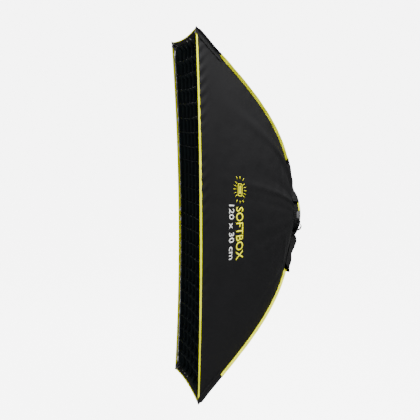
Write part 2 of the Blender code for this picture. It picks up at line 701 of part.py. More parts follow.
def grid_lattice():
    """Crossed walls with square cells, between two sections, each wall GRID_WALL thick."""
    stations = [station(GRID_FRONT), station(GRID_REAR)]

    def lines(t, axis, count):
        share = inset(t, SHEET_IN)[axis]
        half = GRID_WALL / 2 / side_length("right" if axis else "top", t)
        places = [share]
        for number in range(1, count):
            middle = share + (1 - 2 * share) * number / count
            places += [middle - half, middle + half]
        return places + [1 - share]

    verts, index = [], {}
    for layer, t in enumerate(stations):
        us, vs = lines(t, 0, GRID_COLUMNS), lines(t, 1, GRID_ROWS)
        for i, u in enumerate(us):
            for j, v in enumerate(vs):
                if (i in (0, len(us) - 1)) and (j in (0, len(vs) - 1)):
                    continue
                index[layer, i, j] = len(verts)
                verts.append(section_point(t, u, v))
    columns, rows = 2 * GRID_COLUMNS - 1, 2 * GRID_ROWS - 1

    def solid(i, j):
        inside = 0 <= i < columns and 0 <= j < rows
        return inside and (i % 2 == 1 or j % 2 == 1)

    faces = []
    for i in range(columns):
        for j in range(rows):
            if not solid(i, j):
                continue
            ring = [(i, j), (i + 1, j), (i + 1, j + 1), (i, j + 1)]
            faces.append(tuple(index[(0, *k)] for k in ring))
            faces.append(tuple(index[(1, *k)] for k in reversed(ring)))
            neighbours = [(i, j - 1), (i + 1, j), (i, j + 1), (i - 1, j)]
            for number, cell in enumerate(neighbours):
                if not solid(*cell):
                    a, b = ring[number], ring[(number + 1) % 4]
                    faces.append((index[(0, *a)], index[(0, *b)], index[(1, *b)], index[(1, *a)]))
    used = sorted({v for face in faces for v in face})
    renumber = {old: new for new, old in enumerate(used)}
    faces = [tuple(renumber[v] for v in face) for face in faces]
    return add_object("grid_lattice", [verts[v] for v in used], faces, material("grid_cloth", BLACK, 0.8))


def front_layers():
    hook = material("hook_tape", (0.02, 0.02, 0.02), 0.9)
    band("rim_hook_tape", TAPE_FRONT, TAPE_REAR, HOOK_IN, hook)
    band("inner_hook_tape", DIFFUSER_FRONT, DIFFUSER_REAR, HOOK_IN, hook)
    white = material("diffuser_cloth", (0.85, 0.85, 0.84), 0.8)
    band("diffuser_border", DIFFUSER_FRONT, DIFFUSER_REAR, BORDER_IN, material("diffuser_web", (0.7, 0.7, 0.7), 0.8))
    sheet("front_diffuser", DIFFUSER_SHEET, SHEET_IN, white)
    band("grid_border", GRID_FRONT, GRID_REAR, BORDER_IN, material("grid_web", BLACK, 0.8))
    grid_lattice()
    sheet("inner_baffle", BAFFLE_DEPTH, BAFFLE_IN, material("baffle_cloth", (0.8, 0.8, 0.8), 0.8), 4, 8)


def baffle_tabs():
    """Elastic tabs that tie the baffle's long sides to the long panels, near its corners."""
    elastic = material("tab_elastic", (0.6, 0.6, 0.6), 0.9)
    t = station(BAFFLE_DEPTH)
    reach_out, reach_in = inset(t, TAB_IN)[0], inset(t, BAFFLE_IN - 2 * FIT_GAP)[0]
    half = TAB_WIDTH / 2 / side_length("right", t)
    for corner, (sign_x, sign_z) in CORNERS.items():
        mirror = np.array([sign_x, 1, sign_z])
        rings = []
        for u in (1 - reach_in, 1 - reach_out):
            low, high = section_point(t, u, 1 - TAB_PLACE - half), section_point(t, u, 1 - TAB_PLACE + half)
            thick = np.array([0, SHEET_THICK, 0])
            rings.append([p * mirror for p in (low, high, high + thick, low + thick)])
        loft(f"baffle_tab_{corner}", rings, elastic)


# ---------------------------------------------------------------- neck of the fabric
def neck(middle):
    inner = RING_RADIUS + BAND_IN
    outer = inner + BAND_THICK
    collar = turned("neck_band", [(inner, BAND_FRONT), (outer, BAND_FRONT), (outer, BAND_REAR), (inner, BAND_REAR)],
                    material("neck_elastic", BLACK, 0.85), RING_SIDES)
    about_lamp_axis(collar)
    hole = cutter("band_hole", BAND_HOLE, (-RING_RADIUS + 0.004, middle, 0), (-outer - 0.004, middle, 0), 16)
    combine(collar, hole, "DIFFERENCE")
    hem_in = outer + FIT_GAP
    hem_out = hem_in + HEM_THICK
    hem_rear = BAND_REAR + HEM_OVERHANG
    hem_front = hem_rear - HEM_WIDTH
    hem = turned("neck_hem", [(hem_in, hem_front), (hem_out, hem_front), (hem_out, hem_rear), (hem_in, hem_rear)],
                 material("binding_yellow", YELLOW, 0.6), RING_SIDES)
    about_lamp_axis(hem)
    web_loop(outer + FIT_GAP, BAND_FRONT + LOOP_SETBACK + LOOP_WIDTH / 2)


def web_loop(base, place_y):
    """A small arch of webbing with flat feet, standing on the neck band ahead of its hem."""
    out = np.array([sin(LOOP_ANGLE), 0, cos(LOOP_ANGLE)])
    across = np.array([cos(LOOP_ANGLE), 0, -sin(LOOP_ANGLE)])
    edge_drop = base - (base**2 - (LOOP_SPAN / 2) ** 2) ** 0.5
    rings = []
    for step in range(13):
        angle = pi * step / 12
        path_out = base + LOOP_THICK + (LOOP_HEIGHT - LOOP_THICK) * sin(angle) - edge_drop * abs(cos(angle))
        middle = out * path_out + across * (LOOP_SPAN / 2 - LOOP_THICK) * cos(angle)
        normal = unit(out * sin(angle) * LOOP_SPAN / 2 + across * cos(angle) * LOOP_HEIGHT)
        half = np.array([0, LOOP_WIDTH / 2, 0])
        level = np.array([0, place_y, 0])
        rings.append([middle + level - half - normal * LOOP_THICK / 2, middle + level - half + normal * LOOP_THICK / 2,
                      middle + level + half + normal * LOOP_THICK / 2, middle + level + half - normal * LOOP_THICK / 2])
    loft("neck_loop", rings, material("loop_webbing", BLACK, 0.8))


# ---------------------------------------------------------------- the whole softbox
def build():
    for thing in list(bpy.data.objects):
        bpy.data.objects.remove(thing, do_unlink=True)
    bayonet_plate()
    ring_middle = speed_ring()
    lock(ring_middle)
    rods()
    panels()
    seam_tapes()
    rim_tapes()
    corner_pockets()
    access_flaps()
    front_layers()
    baffle_tabs()
    neck(ring_middle)
    bpy.context.view_layer.update()


build()
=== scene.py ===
# %% [markdown]
# # A strip softbox, 30 x 120 cm
# A softbox is a cloth tent on bent rods: the lamp sits at its neck and the light leaves through a
# white cloth at the far end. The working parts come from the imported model, which this lesson loads
# as a fixed frame, and every cell below dresses them with cloth, stitches, metal and plastic.

# %% Load the frame
from math import cos, pi, radians, sin

import bmesh
import bpy
import numpy as np
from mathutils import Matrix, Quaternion, Vector


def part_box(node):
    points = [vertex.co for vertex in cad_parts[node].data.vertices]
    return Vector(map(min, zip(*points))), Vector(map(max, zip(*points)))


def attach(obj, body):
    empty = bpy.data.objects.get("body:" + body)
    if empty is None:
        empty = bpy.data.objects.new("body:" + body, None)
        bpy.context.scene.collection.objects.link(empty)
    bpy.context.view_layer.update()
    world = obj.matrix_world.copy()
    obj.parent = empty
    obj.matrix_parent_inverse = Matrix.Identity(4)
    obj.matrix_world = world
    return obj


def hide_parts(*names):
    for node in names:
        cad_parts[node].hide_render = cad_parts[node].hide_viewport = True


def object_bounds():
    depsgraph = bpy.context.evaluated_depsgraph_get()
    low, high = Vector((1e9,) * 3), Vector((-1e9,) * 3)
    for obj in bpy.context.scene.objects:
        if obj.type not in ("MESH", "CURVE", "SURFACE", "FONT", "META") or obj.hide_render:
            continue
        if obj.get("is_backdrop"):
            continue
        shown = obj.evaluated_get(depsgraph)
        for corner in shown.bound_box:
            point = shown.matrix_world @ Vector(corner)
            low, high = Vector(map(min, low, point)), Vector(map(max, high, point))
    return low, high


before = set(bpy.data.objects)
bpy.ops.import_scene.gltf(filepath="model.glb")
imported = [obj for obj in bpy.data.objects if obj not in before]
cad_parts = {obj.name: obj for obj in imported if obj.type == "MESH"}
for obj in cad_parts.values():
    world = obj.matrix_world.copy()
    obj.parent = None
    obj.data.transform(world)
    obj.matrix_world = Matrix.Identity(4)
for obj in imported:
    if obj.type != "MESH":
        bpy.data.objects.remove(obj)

cad_low, cad_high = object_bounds()
print("box of the frame, m:", [round(a, 3) for a in cad_high - cad_low])

# %% [markdown]
# ## The camera
# The camera looks at the long side from a little in front and a little above. It could be placed by
# hand, but a turntable's numbers say it more plainly: an angle round the box, a height angle, a
# distance and the point that is looked at.

# %% Camera
def in_scene(name, data):
    """A new object for some data, linked into the scene."""
    thing = bpy.data.objects.new(name, data)
    bpy.context.scene.collection.objects.link(thing)
    return thing


AZIMUTH, ELEVATION, ROLL = radians(72.13), radians(7.51), radians(-0.14)
DISTANCE = 2.023
LENS = 49.2
AIM = Vector((-0.0410, -0.2898, 0.0147))
back = Vector((sin(AZIMUTH) * cos(ELEVATION), -cos(AZIMUTH) * cos(ELEVATION), sin(ELEVATION)))
camera = in_scene("camera", bpy.data.cameras.new("camera"))
camera.data.lens = LENS
camera.data.clip_start = 0.02
camera.location = AIM + back * DISTANCE
camera.rotation_mode = "QUATERNION"
camera.rotation_quaternion = (-back).to_track_quat("-Z", "Y") @ Quaternion((0, 0, 1), ROLL)
bpy.context.scene.camera = camera
print("camera at", [round(a, 3) for a in camera.location])

# %% [markdown]
# ## Floor and light
# A studio would show this on a pale sweep in a bright room. A flat floor below the box, a white sky
# and three large lamps give the same: a bright lemon edge, and black cloth that still shows its
# folds because the nearest lamp, high up on one side, rakes along it.

# %% Stage
FLOOR_DROP, FLOOR_SIZE = 0.45, 30.0
LAMP_AIM = Vector((0, -0.2, 0))
SKY_LIGHT, SKY_SEEN = 0.12, 6.5     # what the sky gives to things, and how bright it is itself


def stage_floor():
    """A square of floor under the box, at a drop that keeps its shadow soft."""
    level = cad_low.z - FLOOR_DROP
    half = FLOOR_SIZE / 2
    mesh = bpy.data.meshes.new("floor")
    corners = [(-half, -half, level), (half, -half, level), (half, half, level), (-half, half, level)]
    mesh.from_pydata(corners, [], [(0, 1, 2, 3)])
    floor = in_scene("floor", mesh)
    floor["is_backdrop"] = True
    return floor


def lamp(name, place, size, power):
    """A square lamp of that size and power, turned to the tent."""
    data = bpy.data.lights.new(name, "AREA")
    data.size, data.energy = size, power
    light = in_scene(name, data)
    light.location = place
    light.rotation_mode = "QUATERNION"
    light.rotation_quaternion = (LAMP_AIM - Vector(place)).to_track_quat("-Z", "Y")


floor = stage_floor()
lamp("key", (1.15, 0.25, 1.9), 0.8, 135)
lamp("front", (1.4, -2.4, 0.7), 1.4, 30)
lamp("far_side", (-2.2, -0.2, 1.6), 1.4, 80)


def make_sky():
    """White all round: a soft light on things, and clean white where it is seen itself."""
    world = bpy.data.worlds.new("sky")
    world.use_nodes = True
    tree = world.node_tree
    background = tree.nodes["Background"]
    background.inputs["Color"].default_value = (1, 1, 1, 1)
    seen = tree.nodes.new("ShaderNodeLightPath").outputs["Is Camera Ray"]
    level = tree.nodes.new("ShaderNodeMapRange")
    level.inputs["To Min"].default_value, level.inputs["To Max"].default_value = SKY_LIGHT, SKY_SEEN
    tree.links.new(seen, level.inputs["Value"])
    tree.links.new(level.outputs[0], background.inputs["Strength"])
    bpy.context.scene.world = world


make_sky()
print("stage: floor at", round(cad_low.z - FLOOR_DROP, 3), "and three lamps")

# %% [markdown]
# ## The sizes that shape the tent
# The cloth hangs on four seams, one over each rod. They run from the round neck to the corners of
# the rim, and a few sizes fix them. They are the frame's own sizes, so that new cloth lies exactly
# where the working parts are, and the print below compares the two.

# %% Driving sizes
WIDTH, HEIGHT, DEPTH = 0.300, 1.200, 0.395
SIDE_BOW_IN, SIDE_BOW_BACK = 0.016, 0.015
END_BOW_IN, END_BOW_BACK = 0.0105, 0.003
NECK_RADIUS, NECK_Y = 0.088, -0.028
SEAM_ANGLE = radians(30)
SEAM_TILTS = radians(3), radians(44)
SEAM_PULLS = 0.243, 0.190
ROD_SINK = 0.0105
CORNERS = {"top_right": (1, 1, 1), "top_left": (-1, 1, 1), "bottom_right": (1, 1, -1),
           "bottom_left": (-1, 1, -1)}
MIRROR = {"right": (1, 1, 1), "left": (-1, 1, 1), "top": (1, 1, 1), "bottom": (1, 1, -1)}
OUTWARD = {"right": (1, 0.3, 0), "left": (-1, 0.3, 0), "top": (0, 1, 1), "bottom": (0, 1, -1)}
HEART = (0, -0.22, 0)       # a point well inside the tent


# %% Seams and panels as formulas
def unit(vectors):
    """Vectors divided by their lengths."""
    return vectors / np.maximum(np.linalg.norm(vectors, axis=-1, keepdims=True), 1e-12)


def join(x, y, z):
    """Three arrays stacked into points."""
    return np.stack(np.broadcast_arrays(x, y, z), -1).astype(float)


def neck_point(angle):
    """The round neck: radius times sine and cosine of an angle that runs from +Z to +X."""
    return join(NECK_RADIUS * np.sin(angle), NECK_Y, NECK_RADIUS * np.cos(angle))


REAR, FRONT = neck_point(SEAM_ANGLE), np.array([WIDTH / 2, -DEPTH, HEIGHT / 2])
SPREAD = unit((FRONT - REAR) * (1, 0, 1))
HANDLES = [start + pull * (SPREAD * cos(tilt) - np.array([0, sin(tilt), 0]))
           for start, tilt, pull in ((REAR, SEAM_TILTS[0], SEAM_PULLS[0]),
                                     (FRONT, SEAM_TILTS[1], -SEAM_PULLS[1]))]


def seam_point(t):
    """The top right seam: a cubic Bezier, its four points weighted k3, 3k2t, 3kt2 and t3, k = 1 - t."""
    t = np.asarray(t, float)[..., None]
    k = 1 - t
    return k**3 * REAR + 3 * k * k * t * HANDLES[0] + 3 * k * t * t * HANDLES[1] + t**3 * FRONT


def panel_point(side, s, t):
    """A panel as a Coons patch: the straight line between its two seams at share s, plus the neck's
    arc fading out towards the rim, plus a bow 4s(1-s) that grows towards the rim."""
    s, t = np.broadcast_arrays(np.asarray(s, float), np.asarray(t, float))
    seam = seam_point(t)
    upright = side in ("right", "left")
    start = seam * ((1, 1, -1) if upright else (-1, 1, 1))
    low = pi - SEAM_ANGLE if upright else -SEAM_ANGLE
    bow = np.array([-SIDE_BOW_IN, SIDE_BOW_BACK, 0] if upright else [0, END_BOW_BACK, -END_BOW_IN])
    share, fade = s[..., None], (1 - t)[..., None]
    chord = neck_point(low) * (1 - share) + neck_point(SEAM_ANGLE) * share
    arc = neck_point(low + s * (SEAM_ANGLE - low)) - chord
    bowed = 4 * share * (1 - share) * (1 - fade) * bow
    return (start + share * (seam - start) + fade * arc + bowed) * MIRROR[side]


def panel_normal(side, s, t, step=0.001):
    """Outward normal: the cross product of small steps along s and along t."""
    s, t = np.broadcast_arrays(np.asarray(s, float), np.asarray(t, float))
    s0, s1 = np.maximum(s - step, 0), np.minimum(s + step, 1)
    t0, t1 = np.maximum(t - step, 0), np.minimum(t + step, 1)
    normal = unit(np.cross(panel_point(side, s1, t) - panel_point(side, s0, t),
                           panel_point(side, s, t1) - panel_point(side, s, t0)))
    return normal * np.sign(normal @ np.array(OUTWARD[side]))[..., None]


def side_length(side, t):
    """Straight distance between a panel's two seams."""
    return np.linalg.norm(panel_point(side, 1, t) - panel_point(side, 0, t), axis=-1)


def ridge_frame(t, step=0.002):
    """Seam point, the seam's direction, and the outward direction halfway between its two panels."""
    t = np.asarray(t, float)
    along = unit(seam_point(np.minimum(t + step, 1)) - seam_point(np.maximum(t - step, 0)))
    out = panel_normal("right", 1, t) + panel_normal("top", 1, t)
    return seam_point(t), along, unit(out - along * (out * along).sum(-1, keepdims=True))


def rod_point(t):
    """The rod's centre line: the seam sunk along the ridge's outward direction."""
    point, _, out = ridge_frame(t)
    return point - ROD_SINK * out


def walked(points, axis=0):
    """Distance walked along an axis of a grid of points."""
    steps = np.linalg.norm(np.diff(points, axis=axis), axis=-1)
    return np.insert(np.cumsum(steps, axis=axis), 0, 0, axis=axis)


SHARES = np.linspace(0, 1, 400)
SEAM_RUN, ROD_RUN = walked(seam_point(SHARES)), walked(rod_point(SHARES))
SEAM_LENGTH = SEAM_RUN[-1]


def seam_at(length):
    """The share t of the seam at a length walked from the neck."""
    return np.interp(length, SEAM_RUN, SHARES)


def rod_at(length):
    """The rod's point at a length walked from the neck."""
    return rod_point(np.interp(length, ROD_RUN, SHARES))


panel_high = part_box("panel_right")[1]
print(f"seam {SEAM_LENGTH:.3f} m")
print(f"widest panel point {panel_point('right', 1, 1)[0]:.4f}, frame {panel_high.x:.4f}")

# %% [markdown]
# ## From formulas to meshes
# Every piece is one or more grids of points. A grid could be drawn by hand with modelling tools, but
# worked out as an array it can follow the tent's formulas exactly. Each face corner also gets a
# place in metres along and across its piece, and the weaves are drawn on those.

# %% Making a surface
MERGE_DISTANCE, SHARP_ANGLE = 2e-6, radians(40)
made_counts = {}


def faces_of(grid, wrap):
    """Quads between neighbouring points, closed round where wrap says so, with their UVs in metres."""
    rows, columns = grid.shape[:2]
    full = np.concatenate([grid, grid[:1]]) if wrap[0] else grid
    full = np.concatenate([full, full[:, :1]], 1) if wrap[1] else full
    along, across = walked(full, 0), walked(full, 1)
    i, j = np.meshgrid(np.arange(full.shape[0] - 1), np.arange(full.shape[1] - 1), indexing="ij")
    ring = [(i, j), (i + 1, j), (i + 1, j + 1), (i, j + 1)]
    faces = np.stack([(a % rows) * columns + b % columns for a, b in ring], -1).reshape(-1, 4)
    uvs = np.stack([np.stack([along[a, b], across[a, b]], -1) for a, b in ring], -2).reshape(-1, 4, 2)
    return faces, uvs


def face_out(grid, faces, uvs, away):
    """Turn the whole grid over if its faces look towards the point they should look away from."""
    corner = grid.reshape(-1, 3)[faces]
    normals = np.cross(corner[:, 2] - corner[:, 0], corner[:, 3] - corner[:, 1])
    if (normals * (corner.mean(1) - np.array(away))).sum() < 0:
        return faces[:, ::-1], uvs[:, ::-1]
    return faces, uvs


def mesh_of(name, verts, faces, uvs):
    """A smooth mesh, with a place in metres for every face corner."""
    mesh = bpy.data.meshes.new(name)
    mesh.from_pydata(verts, [], faces)
    mesh.uv_layers.new(name="UVMap").data.foreach_set("uv", uvs.ravel())
    mesh.shade_smooth()
    return mesh


def piece_of(name, mesh, look, node=None, body="softbox", thick=0.0, sink=-1.0):
    """A mesh's object, with its finishes, a cloth's thickness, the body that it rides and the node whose
    place it takes. Without a body it is a tool, and isn't counted."""
    thing = in_scene(name, mesh)
    for finish in look if isinstance(look, (list, tuple)) else [look]:
        mesh.materials.append(finish)
    if thick:
        wall = thing.modifiers.new("thickness", "SOLIDIFY")
        wall.thickness, wall.offset = thick, sink
        wall.material_offset = len(mesh.materials) - 1
    if body:
        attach(thing, body)
        made_counts[name] = len(mesh.polygons) * (2 if thick else 1)
    if node:
        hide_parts(node)
    return thing


def surface(name, grids, look, node=None, body="softbox", wrap=(False, False), away=HEART,
            thick=0.0, sink=-1.0, solid=False, drop=None):
    """One object from grids of points. thick gives a cloth its thickness, from its outer face inwards;
    solid merges what meets, such as poles, and points a closed shape's faces outwards; drop says which
    faces to leave out, from their middles."""
    verts, faces, uvs, total = [], [], [], 0
    for grid in grids:
        quads, places = face_out(grid, *faces_of(grid, wrap), away)
        verts.append(grid.reshape(-1, 3))
        faces.append(quads + total)
        uvs.append(places)
        total += len(verts[-1])
    verts, faces, uvs = np.concatenate(verts), np.concatenate(faces), np.concatenate(uvs)
    if drop is not None:
        keep = ~drop(verts[faces].mean(1))
        used, faces = np.unique(faces[keep], return_inverse=True)
        verts, faces, uvs = verts[used], faces.reshape(-1, 4), uvs[keep]
    mesh = mesh_of(name, verts, faces, uvs)
    if solid:
        shape = bmesh.new()
        shape.from_mesh(mesh)
        bmesh.ops.remove_doubles(shape, verts=shape.verts, dist=MERGE_DISTANCE)
        bmesh.ops.recalc_face_normals(shape, faces=shape.faces)
        shape.to_mesh(mesh)
        shape.free()
        mesh.set_sharp_from_angle(angle=SHARP_ANGLE)
    return piece_of(name, mesh, look, node, body, thick, sink)


def cloth_sheet(thing, flat, area=None):
    """Print the cut of a sheet of cloth, flat = (width, length), or the less that it takes where it isn't a
    rectangle."""
    if area:
        area = min(area, 0.999 * flat[0] * flat[1])
    print(f"{thing.name}: cut {flat[0]:.3f} x {flat[1]:.3f} m" + (f", {area:.4f} m2" if area else ""))


def area_of(grid):
    """Area of a grid: half the cross product of each quad's diagonals, summed."""
    a, b = grid[1:, 1:] - grid[:-1, :-1], grid[1:, :-1] - grid[:-1, 1:]
    return float(np.linalg.norm(np.cross(a, b), axis=-1).sum() / 2)


def carried(rail, sideways, upwards, profile):
    """A flat outline carried along a path: path + sideways x + upwards y for each of its points."""
    profile = np.asarray(profile, float)
    if profile.ndim == 2:
        profile = profile[None]
    return rail[:, None] + sideways[:, None] * profile[..., :1] + upwards[:, None] * profile[..., 1:]


def capped(grid):
    """The same rows with both ends drawn together to a point, so that a tube is closed."""
    return np.concatenate([grid[:1].mean(1, keepdims=True) + 0 * grid[:1], grid,
                           grid[-1:].mean(1, keepdims=True) + 0 * grid[-1:]])


def eased(corners, radius, steps=4):
    """A closed outline with every corner rounded: a quadratic Bezier between the points that lie a
    radius before and after the corner."""
    corners = np.asarray(corners, float)
    before, after = np.roll(corners, 1, 0) - corners, np.roll(corners, -1, 0) - corners
    cut_1 = np.minimum(radius / np.linalg.norm(before, axis=1), 0.45)[:, None]
    cut_2 = np.minimum(radius / np.linalg.norm(after, axis=1), 0.45)[:, None]
    first, last = corners + before * cut_1, corners + after * cut_2
    w = np.linspace(0, 1, steps + 1)[None, :, None]
    curve = (1 - w) ** 2 * first[:, None] + 2 * w * (1 - w) * corners[:, None] + w * w * last[:, None]
    return curve.reshape(-1, 2)


def swells(x, count, shortest, longest, seed):
    """A seeded sum of cosines of one place value, between about -1 and 1."""
    rng = np.random.default_rng(seed)
    length, phase = rng.uniform(shortest, longest, count), rng.uniform(0, 2 * pi, count)
    return np.cos(np.asarray(x)[..., None] * 2 * pi / length + phase).sum(-1) / count**0.5


print("mesh helpers ready")

# %% [markdown]
# ## Finishes
# A weave could be painted, but a pattern worked out by nodes stays sharp at any distance. Two sets
# of bands cross on the piece's own metres, one for each set of threads, and feed a bump. Slow noise
# then varies the colour and the gloss, as wear and dye do.

# %% Node helpers
def new_finish(name, color, roughness, metallic=0.0, **sockets):
    """A material with a Principled shader; sockets sets its other inputs by name."""
    made = bpy.data.materials.new(name)
    made.use_nodes = True
    made.diffuse_color = (*color, 1)
    shader = made.node_tree.nodes["Principled BSDF"]
    shader.inputs["Base Color"].default_value = (*color, 1)
    shader.inputs["Roughness"].default_value = roughness
    shader.inputs["Metallic"].default_value = metallic
    for socket, value in sockets.items():
        shader.inputs[socket.replace("_", " ")].default_value = value
    return made, made.node_tree, shader


def add(tree, kind, inputs=(), **settings):
    """Add a node; inputs maps an input's name or number to a value or to the socket that feeds it."""
    node = tree.nodes.new("ShaderNode" + kind)
    for key, value in settings.items():
        setattr(node, key, value)
    for key, value in dict(inputs).items():
        if isinstance(value, bpy.types.NodeSocket):
            tree.links.new(value, node.inputs[key])
        else:
            node.inputs[key].default_value = value
    return node


def math_node(tree, operation, a, b=0.0):
    """One step of arithmetic."""
    return add(tree, "Math", {0: a, 1: b}, operation=operation).outputs[0]


def place(tree, kind="UV"):
    """Where the surface is: its own metres along and across, or its place in the object."""
    return add(tree, "TexCoord").outputs[kind]


def threads(tree, axis, pitch, wander=0.0):
    """Bands one thread apart: a sine wave along one axis of the piece's metres."""
    inputs = {"Vector": place(tree), "Scale": 2 * pi / 20 / pitch, "Distortion": wander, "Detail": 1.0}
    return add(tree, "TexWave", inputs, wave_type="BANDS", bands_direction=axis).outputs["Fac"]


def noise(tree, scale, detail=3.0, kind="Object", stretch=None):
    """Cloudy noise at a scale, drawn out along some axes by stretch."""
    spot = place(tree, kind)
    if stretch:
        spot = add(tree, "Mapping", {"Vector": spot, "Scale": stretch}).outputs[0]
    return add(tree, "TexNoise", {"Vector": spot, "Scale": scale, "Detail": detail}).outputs["Fac"]


def fit(tree, value, low, high, start=0.3, end=0.7):
    """Stretch a value from start..end to low..high."""
    return add(tree, "MapRange", {"Value": value, "From Min": start, "From Max": end, "To Min": low,
                                  "To Max": high}).outputs[0]


def mixed(tree, share, first, second):
    """A colour between two colours."""
    node = add(tree, "Mix", {"Factor": share}, data_type="RGBA")
    for socket, value in ((node.inputs[6], first), (node.inputs[7], second)):
        if isinstance(value, bpy.types.NodeSocket):
            tree.links.new(value, socket)
        else:
            socket.default_value = (*value, 1)
    return node.outputs[2]


def bump(tree, shader, height, strength, distance):
    """Feed a height to the shader's normal."""
    node = add(tree, "Bump", {"Height": height, "Strength": strength, "Distance": distance})
    tree.links.new(node.outputs[0], shader.inputs["Normal"])


def scaled(color, factor):
    """A colour made lighter or darker by a factor."""
    return tuple(c * factor for c in color)


# %% Woven cloths
def woven(name, color, pitch, roughness=0.7, relief=0.6, lighter=1.7, rib=1.0, cloud=9.0, **sockets):
    """Plain weave: the brighter of two crossing bands stands up at each point. The raised threads get a
    painted highlight and the gaps between them painted shade, and slow noise shifts the shade and the gloss."""
    made, tree, shader = new_finish(name, color, roughness, **sockets)
    warp, weft = threads(tree, "X", pitch * rib, 0.4), threads(tree, "Y", pitch, 0.4)
    height = math_node(tree, "MAXIMUM", warp, math_node(tree, "SUBTRACT", 1.0, weft))
    shade = fit(tree, noise(tree, cloud, 4.0), 0.0, 1.0)
    base = mixed(tree, shade, scaled(color, 0.82), scaled(color, 1.18))
    # painted highlight on the raised threads and painted shade in the gaps, from the weave's height
    painted_thread_light = mixed(tree, fit(tree, height, 0.0, 0.55, 0.5, 1.0), base, scaled(color, lighter))
    tree.links.new(painted_thread_light, shader.inputs["Base Color"])
    tree.links.new(fit(tree, noise(tree, cloud * 4, 3.0), roughness - 0.07, roughness + 0.08),
                   shader.inputs["Roughness"])
    bump(tree, shader, height, relief, pitch * 0.35)
    return made


def lined(name, color, roughness):
    """Silver coated cloth: metal flakes pressed into a weave, with a soft quilted shine."""
    made, tree, shader = new_finish(name, color, roughness, metallic=0.85)
    height = math_node(tree, "MULTIPLY", threads(tree, "X", 0.0009), threads(tree, "Y", 0.0009))
    crumple = noise(tree, 60.0, 5.0)
    tree.links.new(mixed(tree, crumple, scaled(color, 0.8), color), shader.inputs["Base Color"])
    tree.links.new(fit(tree, crumple, roughness - 0.08, roughness + 0.12), shader.inputs["Roughness"])
    relief = math_node(tree, "ADD", height, math_node(tree, "MULTIPLY", crumple, 2.0))
    bump(tree, shader, relief, 0.5, 0.0004)
    return made


def hooked(name, color):
    """Hook tape: a field of tiny hooks, each a raised cell with a painted highlight and painted shade round
    it.
    """
    made, tree, shader = new_finish(name, color, 0.6, Specular_IOR_Level=0.16)
    cells = add(tree, "TexVoronoi", {"Vector": place(tree), "Scale": 900.0}).outputs["Distance"]
    # painted highlight on each hook's top and painted shade between the hooks
    shade = mixed(tree, fit(tree, cells, 1.0, 0.0, 0.0, 0.6), scaled(color, 0.5), scaled(color, 2.2))
    tree.links.new(shade, shader.inputs["Base Color"])
    bump(tree, shader, cells, 1.0, -0.0006)
    return made


SHELL_BLACK = (0.0050, 0.0050, 0.0055)
TAPE_YELLOW = (0.88, 0.90, 0.001)
finishes = {
    "shell": woven("shell_nylon_black", SHELL_BLACK, 0.00055, 0.62, 0.45, 1.5, Specular_IOR_Level=0.16,
                   Sheen_Weight=0.02, Sheen_Roughness=0.4),
    "lining": lined("shell_nylon_silver", (0.62, 0.63, 0.64), 0.34),
    "trim": woven("trim_nylon_black", (0.0052, 0.0052, 0.0056), 0.0009, 0.7, 0.8, 1.9, rib=0.7,
                  cloud=22.0, Specular_IOR_Level=0.16, Sheen_Weight=0.02),
    "binding": woven("binding_tape_yellow", TAPE_YELLOW, 0.0008, 0.6, 0.5, 1.05, rib=1.6, cloud=30.0,
                     Specular_IOR_Level=0.06),
    "hook": hooked("hook_tape_black", (0.007, 0.007, 0.0075)),
    "diffuser": woven("diffuser_cloth_white", (0.80, 0.80, 0.79), 0.0006, 0.75, 0.35, 1.05,
                      Subsurface_Weight=0.3, Subsurface_Scale=0.002),
    "web": woven("diffuser_web_white", (0.66, 0.66, 0.65), 0.0012, 0.8, 0.8, 1.15, rib=0.6),
    "grid": woven("grid_cloth_black", (0.0022, 0.0046, 0.0055), 0.0007, 0.62, 0.6, 1.8, cloud=16.0,
                  Specular_IOR_Level=0.10, Sheen_Weight=0.01),
    "elastic": woven("neck_elastic_black", (0.0060, 0.0060, 0.0064), 0.0011, 0.8, 1.0, 2.0, rib=0.5,
                     Specular_IOR_Level=0.16),
    "thread": woven("thread_yellow", scaled(TAPE_YELLOW, 0.94), 0.0004, 0.5, 0.6, 1.05,
                    Specular_IOR_Level=0.06),
    "dark_thread": woven("thread_black", (0.012, 0.012, 0.0125), 0.0004, 0.5, 0.6, 1.6,
                          Specular_IOR_Level=0.25),
    "white_thread": woven("thread_white", (0.7, 0.7, 0.69), 0.0004, 0.5, 0.6, 1.1),
}
print("cloth finishes:", ", ".join(finishes))


# %% Metals, plastics and ink
def brushed(name, color, roughness, grain, stretch, metallic=1.0):
    """Metal with fine lines: noise drawn out along the way it was turned or brushed, plus dull spots."""
    made, tree, shader = new_finish(name, color, roughness, metallic)
    lines, spots = noise(tree, grain, 2.0, stretch=stretch), noise(tree, 35.0, 5.0)
    shade = mixed(tree, lines, scaled(color, 0.78), scaled(color, 1.15))
    tree.links.new(shade, shader.inputs["Base Color"])
    along, dull = fit(tree, lines, roughness - 0.06, roughness + 0.06), fit(tree, spots, 0.0, 0.12)
    tree.links.new(math_node(tree, "ADD", along, dull), shader.inputs["Roughness"])
    bump(tree, shader, lines, 0.25, 0.0002)
    return made


def moulded(name, color, roughness, grain=1400.0, relief=0.35, **sockets):
    """Moulded plastic: spark-eroded grain in the bump, and handling shine in the roughness."""
    made, tree, shader = new_finish(name, color, roughness, **sockets)
    fine, slow = noise(tree, grain, 2.0), noise(tree, 45.0, 4.0)
    tree.links.new(mixed(tree, slow, scaled(color, 0.8), scaled(color, 1.25)), shader.inputs["Base Color"])
    tree.links.new(fit(tree, slow, roughness - 0.08, roughness + 0.08), shader.inputs["Roughness"])
    bump(tree, shader, fine, relief, 0.0002)
    return made


